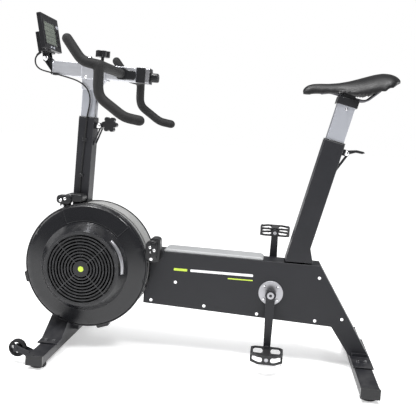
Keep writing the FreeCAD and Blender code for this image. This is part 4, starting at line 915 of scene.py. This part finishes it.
def tab(angle, width, inner, outer, near, far):
    """A block across the cover's rim at an angle, in metres."""
    turn = Matrix.Translation((FAN_X, 0, FAN_Z)) @ Matrix.Rotation(-math.radians(angle), 4, "Y")
    return block("lump", Vector((inner, near, -width / 2)), Vector((outer, far, width / 2)),
                 turn, 0.006)


LUGS = {
    "rear_lug": [beside_axle((-403, -92, 312), (-366, -58, 372), 15),
                 beside_axle((-392, -86, 303), (-358, -46, 383), 16),
                 beside_axle((-386, -95, 318), (-372, -80, 366), 7)],
    "top_lug": [beside_axle((-697, -94, 471), (-650, -68, 498), 13),
                beside_axle((-672, -84, 478), (-616, -30, 502), 9),
                beside_axle((-690, -80, 458), (-655, -70, 484), 8)],
    "front_lug": [tab(195, 0.036, 0.186, 0.2065, -0.092, -0.064)],
    "low_lug": [tab(-72, 0.042, 0.186, 0.2070, -0.092, -0.064)],
}
for name, lumps in LUGS.items():
    fused(name, lumps, BLACK_MOULDED, "frame", ("cover_lugs",))
print("lugs cast:", ", ".join(LUGS))

# %% Caster wheels: tyre, rim, hub and five spokes
def spun(name, centre, profile, steps=64):
    """A closed profile of (radius, depth) spun about an axle that runs across the bike."""
    rings = [[centre + Vector((r * math.cos(t), y, r * math.sin(t))) for r, y in profile]
             for t in (2 * math.pi * i / steps for i in range(steps))]
    return skin(name, rings, closed=True)


TYRE = ((.0262, -.0062), (.0262, .0062), (.0250, .0080), (.0225, .0090), (.0205, .0088),
        (.0205, -.0088), (.0225, -.0090), (.0250, -.0080))
RIM = ((.0206, -.0070), (.0206, .0070), (.0178, .0066), (.0178, -.0066))
HUB = ((.0080, -.0088), (.0080, .0088), (.0042, .0088), (.0042, -.0088))
for side, body in ((-1, "left_caster"), (1, "right_caster")):
    centre = Vector((AXLE_X - .743, side * .262, .048))
    finish_piece(f"{body}_tyre", spun("tyre", centre, TYRE), RUBBER, body,
                 (body,))
    lumps = [spun("rim", centre, RIM), spun("hub", centre, HUB)]
    for k in range(5):
        turn = Matrix.Translation(centre) @ Matrix.Rotation(2 * math.pi * k / 5, 4, "Y")
        lumps.append(block("spoke", Vector((.006, -.0045, -.0028)), Vector((.019, .0045, .0028)),
                           turn, 0.001))
    fused(f"{body}_wheel", lumps, BLACK_MOULDED, body, voxel=0.0011, relax=2)
print("caster wheels made")

# %% The moulded clamp that holds the cross bar on the slide, and the slide's end bung
# A lump's low and high corner along, across and above the cross bar, its radius and axis.
LUMPS = {
    "bar_clamp": (0.0016, 3, (((.0855, -.0268, -.017), (.149, .0268, .0125), .010, "Y"),
                              ((.0855, -.0272, -.019), (.121, .0272, .019), .012, "Y"))),
    "slide_bung": (0.0014, 5, (((.1915, -.0150, -.0175), (.2165, .0150, .0115), .012, "X"),)),
}
BAR_LEVEL = Vector((0, 0, SLIDE_W))
for name, (voxel, relax, lumps) in LUMPS.items():
    meshes = [block("lump", Vector(low) + BAR_LEVEL, Vector(high) + BAR_LEVEL, POST_FRAME,
                    radius, axis) for low, high, radius, axis in lumps]
    fused(name, meshes, BLACK_MOULDED, "bar_slide", voxel=voxel, relax=relax)
print("bar clamp and bung made")

# %% [markdown]
# ## Pedals
# The pedals are moulded platforms: a barrel round the spindle, a thick outer rim with
# chamfered corners, and open windows through the top and through the sides.  A lattice
# of boxes would do, but the windows' rounded ends and the rim's even wall come cleaner
# from one solid with rounded cutters taken out of it.

# %% The pedal's body and its windows
PEDAL_HALF_LONG, PEDAL_HALF_WIDE, PEDAL_HALF_THICK, PEDAL_OUT = 0.0500, 0.0460, 0.0138, 0.1385
CRANK_LENGTH, INNER_CHAMFER, OUTER_CHAMFER = 0.175, 0.012, 0.024
PEDALS = [(side, f"{hand}_pedal",
           Vector((AXLE_X, side * PEDAL_OUT, AXLE_Z + side * CRANK_LENGTH)))
          for side, hand in ((-1, "left"), (1, "right"))]


def cut_away(piece, cutters):
    """Subtract a list of meshes from a piece."""
    mesh = joined("cutter", cutters)
    holder = placed("cutter", mesh)
    modify(piece, "BOOLEAN", operation="DIFFERENCE", object=holder, solver="EXACT",
           use_self=True)
    bpy.data.objects.remove(holder)
    bpy.data.meshes.remove(mesh)


def window(middle, half, radius, depths, here, axis):
    """A cutter of rounded section, its middle and half sizes given, between two depths."""
    section = rectangle((middle - half[0], -half[1]), (middle + half[0], half[1]))
    return plate("window", rounded_outline(section, radius), *depths, here, axis)


def pedal_body(name, centre, side):
    """The solid platform, and the cutters that open its windows and its bore."""
    here = Matrix.Translation(centre)
    a, t = PEDAL_HALF_LONG, PEDAL_HALF_THICK
    near, far = INNER_CHAMFER, OUTER_CHAMFER
    b = side * PEDAL_HALF_WIDE
    outline = rounded_outline([(-a + near, -b), (a - near, -b), (a, -b + side * near),
                               (a, b - side * far), (a - far, b), (-a + far, b),
                               (-a, b - side * far), (-a, -b + side * near)][::side], 0.004)
    mesh = plate(name, outline, -t, t, here, axis="Z")
    through = (-0.06, 0.06)
    cutters = []
    for hand in (-1, 1):
        corners = [(hand * 0.011, -side * 0.0395), (hand * 0.038, -side * 0.0395),
                   (hand * 0.044, -side * 0.032), (hand * 0.044, side * 0.019),
                   (hand * 0.0235, side * 0.0395), (hand * 0.011, side * 0.0395)]
        cutters.append(plate("window", rounded_outline(corners[::hand * side], 0.006),
                             -0.03, 0.03, here, "Z"))
        cutters.append(window(hand * 0.0275, (0.0150, 0.0082), 0.0077, through, here, "Y"))
    for y in (-0.0185, 0.0185):
        for depths in ((0.040, 0.06), (-0.06, -0.040)):
            cutters.append(window(y, (0.0145, 0.0078), 0.0077, depths, here, "X"))
    cutters.append(window(0, (.0062, .0062), 0.006, through, here, "Y"))
    return mesh, cutters


for side, node_name, centre in PEDALS:
    name = f"{node_name}_cage"
    mesh, cutters = pedal_body(name, centre, side)
    cage = finish_piece(name, mesh, BLACK_MOULDED, node_name, (node_name,),
                        smooth=False)
    cut_away(cage, cutters)
    soften(cage, 0.0011, angle=50)
    print(name, len(cage.data.polygons), "faces")

# %% Grip studs along the pedal's rims
def studs(name, centre, body):
    shape = bmesh.new()
    for face in (-1, 1):
        for x in (-0.045, -0.0225, 0.0225, 0.045):
            for y in (-0.036, -0.018, 0.018, 0.036):
                if abs(x) < 0.03 and abs(y) < 0.03:
                    continue
                spot = centre + Vector((x, y, face * (PEDAL_HALF_THICK + 0.0002)))
                turn = Matrix.Rotation(0 if face > 0 else math.pi, 4, "X")
                bmesh.ops.create_cone(shape, cap_ends=True, segments=10, radius1=0.0017,
                                      radius2=0.0009, depth=0.0022,
                                      matrix=Matrix.Translation(spot) @ turn)
    return finish_piece(name, mesh_of(name, shape), BLACK_MOULDED, body)


for _, body, centre in PEDALS:
    studs(f"{body}_studs", centre, body)
print("pedal studs placed")

# %% [markdown]
# ## The display
# The display is a flat moulded case with a liquid-crystal window set behind a bezel, two
# pale keys under it and a column of dark membrane keys down one side.  The window is a
# thin panel whose finish is a grey-green gloss; its segments show only as faint rows.

# %% Liquid-crystal finish
def crystal_finish():
    finish, tree, shader = new_finish("liquid crystal", (0.105, 0.125, 0.10), Roughness=0.22,
                                      Coat_Weight=0.6, Coat_Roughness=0.08)
    cloud = place_group(tree, GRAIN, Scale=500.0, Patch_Scale=25.0)
    tint = blend_colour(tree, cloud.outputs["Patches"], (0.10, 0.12, 0.095), (0.15, 0.17, 0.14))
    wire(tree, shader, tint, cloud.outputs["Height"], 0.18, 0.26)
    return finish


CRYSTAL = crystal_finish()
KEY_GREY = coated("pale key", (0.30, 0.31, 0.34), 1500.0, 0.35, edge=(0.5, 0.5, 0.52))
SEGMENT = coated("faint segments", (0.055, 0.065, 0.055), 900.0, 0.3, edge=(0.06, 0.07, 0.06),
                 dust=0.0)
dress("monitor_screen", CRYSTAL, 0.0)
dress("left_key", KEY_GREY, 0.001)
dress("right_key", KEY_GREY, 0.001)
print("display finishes made")

# %% Bezel, faint rows and the key column
FACE, SCREEN_LEFT, SCREEN_RIGHT, SCREEN_LOW, SCREEN_HIGH = 0.026, -0.064, 0.038, 0.038, 0.108


def display_piece(name, low, high, finish, radius=0.001, width=0.0006):
    mesh = block(name, Vector(low), Vector(high), DISPLAY_FRAME, radius, "X")
    return soften(finish_piece(name, mesh, finish, "monitor"), width)


def screen_outline(margin, radius):
    """The window's outline, grown by a margin."""
    return rounded_outline(rectangle((SCREEN_LEFT - margin, SCREEN_LOW - margin),
                                     (SCREEN_RIGHT + margin, SCREEN_HIGH + margin)), radius)


outer, inner = screen_outline(0.0045, 0.004), screen_outline(-0.001, 0.002)
rings = [[DISPLAY_FRAME @ Vector((depth, a, b)) for a, b in outline]
         for outline, depth in ((outer, FACE + .0001), (outer, FACE + .0012),
                                (inner, FACE + .0012), (inner, FACE - .0003))]
bezel = finish_piece("display_bezel", skin("display_bezel", rings, closed=True),
                     BLACK_MOULDED, "monitor")
soften(bezel, 0.0004)
for row, height in enumerate((0.050, 0.063, 0.078, 0.093)):
    display_piece(f"display_row_{row + 1}", (FACE - .0004, SCREEN_LEFT + .008, height),
                  (FACE - .00025, SCREEN_RIGHT - .008, height + .0016 + .0008 * (row % 2)),
                  SEGMENT, radius=0.0005, width=0.00004)
for row in range(5):
    display_piece(f"display_side_key_{row + 1}", (FACE - .0002, .050, .036 + .0155 * row),
                  (FACE + .0016, .069, .046 + .0155 * row), KEY_GREY if row == 4 else RUBBER,
                  radius=0.003)
print("display faced")

# %% [markdown]
# ## Small metal
# Pivot pins, set screws and the collar on the slide are bright or dark turned parts.
# A turned part is a profile spun about its own axis, so one helper makes a domed head
# with a shallow hexagon socket look, and a list places them.

# %% Helper: a domed screw head along any direction
def screw_head(name, base, direction, radius, height, finish, body):
    """A low dome with a sunken hexagon, standing on its base."""
    turn = Vector(direction).to_track_quat("Z", "Y").to_matrix().to_4x4()
    here = Matrix.Translation(base) @ turn
    profile = ((0.96, 0.0), (1.0, 0.18), (0.97, 0.45), (0.84, 0.76), (0.62, 0.94), (0.52, 1.0))
    rings = [[here @ Vector((radius * r * math.cos(t), radius * r * math.sin(t), height * z))
              for t in (2 * math.pi * k / 24 for k in range(24))] for r, z in profile]
    for depth, size in ((1.0, 0.46), (0.35, 0.44)):
        ring = []
        for k in range(24):
            t = 2 * math.pi * k / 24
            flat = math.cos(math.pi / 6) / math.cos((t % (math.pi / 3)) - math.pi / 6)
            ring.append(here @ Vector((radius * size * flat * math.cos(t),
                                       radius * size * flat * math.sin(t), height * depth)))
        rings.append(ring)
    return finish_piece(name, skin(name, rings), finish, body)


HEADS = []
for side, hand in ((-1, "l"), (1, "r")):
    facing = Vector((0, side, 0))
    for k in range(4):
        angle = math.radians(45 + 90 * k)
        spot = Vector((AXLE_X + .029 * math.cos(angle), side * .0479,
                       AXLE_Z + .029 * math.sin(angle)))
        HEADS.append((f"bearing_screw_{hand}{k + 1}", spot, facing, .0042, .0022, DARK_STEEL,
                      "frame"))
    HEADS += [
        (f"display_pivot_{hand}", DISPLAY_PIVOT + facing * .0160, facing,
         .0085, .0045, BRIGHT, "monitor"),
        (f"seat_lever_pin_{hand}", SEAT_FRAME @ Vector((.046, side * .0188, -.024)), facing,
         .0082, .0040, BRIGHT, "frame"),
        (f"bar_lever_pin_{hand}", POST_FRAME @ Vector((.039, side * .0188, -.024)), facing,
         .0082, .0040, BRIGHT, "frame"),
        (f"seat_post_screw_{hand}", SEAT_FRAME @ Vector((.002, side * .0299, .104)), facing,
         .0055, .0022, STEEL, "seat_post"),
        (f"sleeve_screw_{hand}", POST_FRAME @ Vector((-.012, side * .0292, .126)), facing,
         .0050, .0022, BRIGHT, "bar_post"),
        (f"crank_cap_{hand}", Vector((AXLE_X, side * .0863, AXLE_Z)), facing,
         .0048, .0022, BLACK_MOULDED, "crank"),
    ]
    if side < 0:
        for k, (ahead, out, up) in enumerate(((.3885, .0925, .352), (.3745, .0955, .344),
                                              (.6830, .0942, .481), (.6690, .0942, .487))):
            HEADS.append((f"lug_bolt_{k + 1}", Vector((AXLE_X - ahead, -out, up)), facing,
                          .0052, .0030, BRIGHT, "frame"))
for name, base, facing, radius, height, finish, body in HEADS:
    screw_head(name, base, facing, radius, height, finish, body)
print(len(HEADS), "screw heads placed")

# %% The slide's bright collar and stud, and the dark rack strip up the bar post
COLLAR_HALF_WIDE, COLLAR_HALF_TALL, COLLAR_WALL = .0277, .0247, .0014
COLLAR_START, COLLAR_END = .1795, .1922


def collar_outline(shrink, radius):
    a, b = COLLAR_HALF_WIDE - shrink, COLLAR_HALF_TALL - shrink
    return rounded_outline(rectangle((-a, -b), (a, b)), radius)


outer, inner = collar_outline(0, .006), collar_outline(COLLAR_WALL, .005)
rings = [[POST_FRAME @ Vector((along, a, SLIDE_W + b)) for a, b in outline]
         for outline, along in ((outer, COLLAR_START), (outer, COLLAR_END),
                                (inner, COLLAR_END), (inner, COLLAR_START))]
collar = finish_piece("slide_collar", skin("slide_collar", rings, closed=True), STEEL,
                      "bar_slide")
soften(collar, 0.0005)
cap = finish_piece("collar_plate", block(
    "collar_plate", Vector((.1500, -.021, SLIDE_W + .0233)),
    Vector((COLLAR_START, .021, SLIDE_W + .0247)), POST_FRAME, .003, "Z"), STEEL, "bar_slide")
soften(cap, 0.0004)
stud_base = POST_FRAME @ Vector((-.012, 0, .1775))
up = POST_FRAME.to_3x3() @ Vector((0, 0, 1))
screw_head("sleeve_stud", stud_base, up, .0105, .018, BRIGHT, "bar_post")
finish_piece("post_rack_strip", block(
    "post_rack_strip", Vector((.0209, -.006, .004)), Vector((.0212, .006, .100)),
    POST_FRAME, .0003, "Z"), BLACK_MOULDED, "bar_post")
print("collar, stud and strip made")

# %% [markdown]
# ## A plain stripe on the frame
# A long dark plate looks unfinished without some decoration, so each side wears a plain
# stripe of three bars, thin printed film on the coat, and the fan's hub a plain dot.
# Neither carries a mark or lettering.

# %% Printed stripe and hub dot
def printed(name, colour):
    finish, tree, shader = new_finish(name, colour, Roughness=0.4)
    rubbed = place_group(tree, GRAIN, Scale=1500.0, Patch_Scale=40.0)
    darker = tuple(value * 0.85 for value in colour)
    base = blend_colour(tree, rubbed.outputs["Patches"], darker, colour)
    wire(tree, shader, base, rubbed.outputs["Patches"], 0.34, 0.46)
    return finish


WHITE_PRINT = printed("white print", (0.82, 0.82, 0.82))
LIME_PRINT = printed("lime print", (0.52, 0.68, 0.06))
for label, side in (("left", -1), ("right", 1)):
    for part, along0, along1, low, high, finish in (
            ("long", -0.262, -0.060, 0.2745, 0.2825, WHITE_PRINT),
            ("short", -0.316, -0.272, 0.2745, 0.2825, LIME_PRINT),
            ("thin", -0.140, -0.060, 0.2610, 0.2645, LIME_PRINT)):
        outline = rounded_outline(rectangle((AXLE_X + along0, low), (AXLE_X + along1, high)),
                                  0.0025)
        name = f"{label}_stripe_{part}"
        mesh = plate(name, outline, side * .0445, side * .04475, WORLD)
        finish_piece(name, mesh, finish, "frame", smooth=False)
DOT_RADIUS, DOT_DEPTH, DOT_SLOPE, DOT_THICK = 0.0085, -0.1492, 0.0004, 0.0003
rings = [[fan_place(radius, depth, 2 * math.pi * k / 48) for k in range(48)]
         for radius, depth in ((DOT_RADIUS, DOT_DEPTH),
                               (DOT_RADIUS + DOT_SLOPE, DOT_DEPTH + DOT_THICK))]
finish_piece("hub_dot", skin("hub_dot", rings), LIME_PRINT, "frame", smooth=False)
print("stripes and hub dot laid")

# %% [markdown]
# ## Studio
# The bike stands on a plain pale floor that glows a little, so the shadows under it stay
# light.  Two small lamps above give the short highlights on the fan cover, a large one
# at each end lights the narrow faces, and a broad sun and a dim pale world fill the rest.
# What the lens sees behind the bike is plain white, which doesn't light it.

# %% Floor, world and lamps
WORLD_FILL, SUN_POWER, FLOOR_GLOW = 0.25, 1.7, 0.42


def pale_floor():
    finish, tree, shader = new_finish("pale floor", (0.90, 0.90, 0.90), Roughness=0.6,
                                      Emission_Strength=FLOOR_GLOW)
    shader.inputs["Emission Color"].default_value = (1.0, 1.0, 1.0, 1.0)
    soft = place_group(tree, GRAIN, Scale=60.0, Patch_Scale=3.0)
    tint = blend_colour(tree, soft.outputs["Patches"], (0.90, 0.90, 0.90), (0.93, 0.93, 0.93))
    tree.links.new(tint, shader.inputs["Base Color"])
    mesh = mesh_from("floor", [(-30, -30, 0), (30, -30, 0), (30, 30, 0), (-30, 30, 0)],
                     [(0, 1, 2, 3)])
    floor = placed("floor", mesh)
    floor.location.z = -0.0005
    mesh.materials.append(finish)


pale_floor()
world = bpy.data.worlds.new("studio")
world.use_nodes = True
tree = world.node_tree
fill = tree.nodes["Background"]
fill.inputs["Color"].default_value = (0.97, 0.98, 1.0, 1.0)
fill.inputs["Strength"].default_value = WORLD_FILL
backdrop = tree.nodes.new("ShaderNodeBackground")
backdrop.inputs["Color"].default_value = (1.0, 1.0, 1.0, 1.0)
backdrop.inputs["Strength"].default_value = 1.0
seen = tree.nodes.new("ShaderNodeLightPath")
choose = tree.nodes.new("ShaderNodeMixShader")
tree.links.new(seen.outputs["Is Camera Ray"], choose.inputs["Fac"])
tree.links.new(fill.outputs[0], choose.inputs[1])
tree.links.new(backdrop.outputs[0], choose.inputs[2])
tree.links.new(choose.outputs[0], tree.nodes["World Output"].inputs["Surface"])
bpy.context.scene.world = world
bpy.context.scene.view_settings.view_transform = "Standard"
TARGET = Vector((0.0, 0.0, 0.5))
LAMPS = (
    ("overhead lamp", (-0.7, -0.9, 2.6), 0.5, 40.0),
    ("front lamp", (0.75, -1.0, 2.2), 0.5, 30.0),
    ("side lamp", (-3.0, -0.4, 1.5), 1.8, 40.0),
    ("back lamp", (3.1, 0.7, 1.2), 1.5, 34.0),
)
for name, spot, size, power in LAMPS:
    lamp = bpy.data.lights.new(name, "AREA")
    lamp.shape = "SQUARE"
    lamp.size = size
    lamp.energy = power
    holder = placed(name, lamp)
    holder.location = spot
    holder.rotation_euler = (TARGET - Vector(spot)).to_track_quat("-Z", "Y").to_euler()
sun = bpy.data.lights.new("even light", "SUN")
sun.energy = SUN_POWER
sun.angle = math.radians(50)
holder = placed("even light", sun)
holder.rotation_euler = (math.radians(14), math.radians(-10), 0)
print("studio lit by", len(LAMPS), "lamps and a sun")

# %% Camera at the viewing angle
CAMERA_PLACE = Vector((AXLE_X - 0.0154, -2.0847, 0.7260))
YAW, PITCH, ROLL, LENS = -0.0987, -0.1170, 0.0617, 56.23
ahead = Vector((math.sin(YAW) * math.cos(PITCH), math.cos(YAW) * math.cos(PITCH),
                math.sin(PITCH)))
level = Vector((math.cos(YAW), -math.sin(YAW), 0.0))
above = level.cross(ahead)
camera_right = level * math.cos(ROLL) + above * math.sin(ROLL)
camera_up = above * math.cos(ROLL) - level * math.sin(ROLL)
lens = bpy.data.cameras.new("camera")
lens.lens = LENS
lens.sensor_width = 36.0
camera = placed("camera", lens)
camera.matrix_world = Matrix((
    (camera_right.x, camera_up.x, -ahead.x, CAMERA_PLACE.x),
    (camera_right.y, camera_up.y, -ahead.y, CAMERA_PLACE.y),
    (camera_right.z, camera_up.z, -ahead.z, CAMERA_PLACE.z), (0, 0, 0, 1)))
bpy.context.scene.camera = camera
print("camera at", [round(v, 3) for v in CAMERA_PLACE])
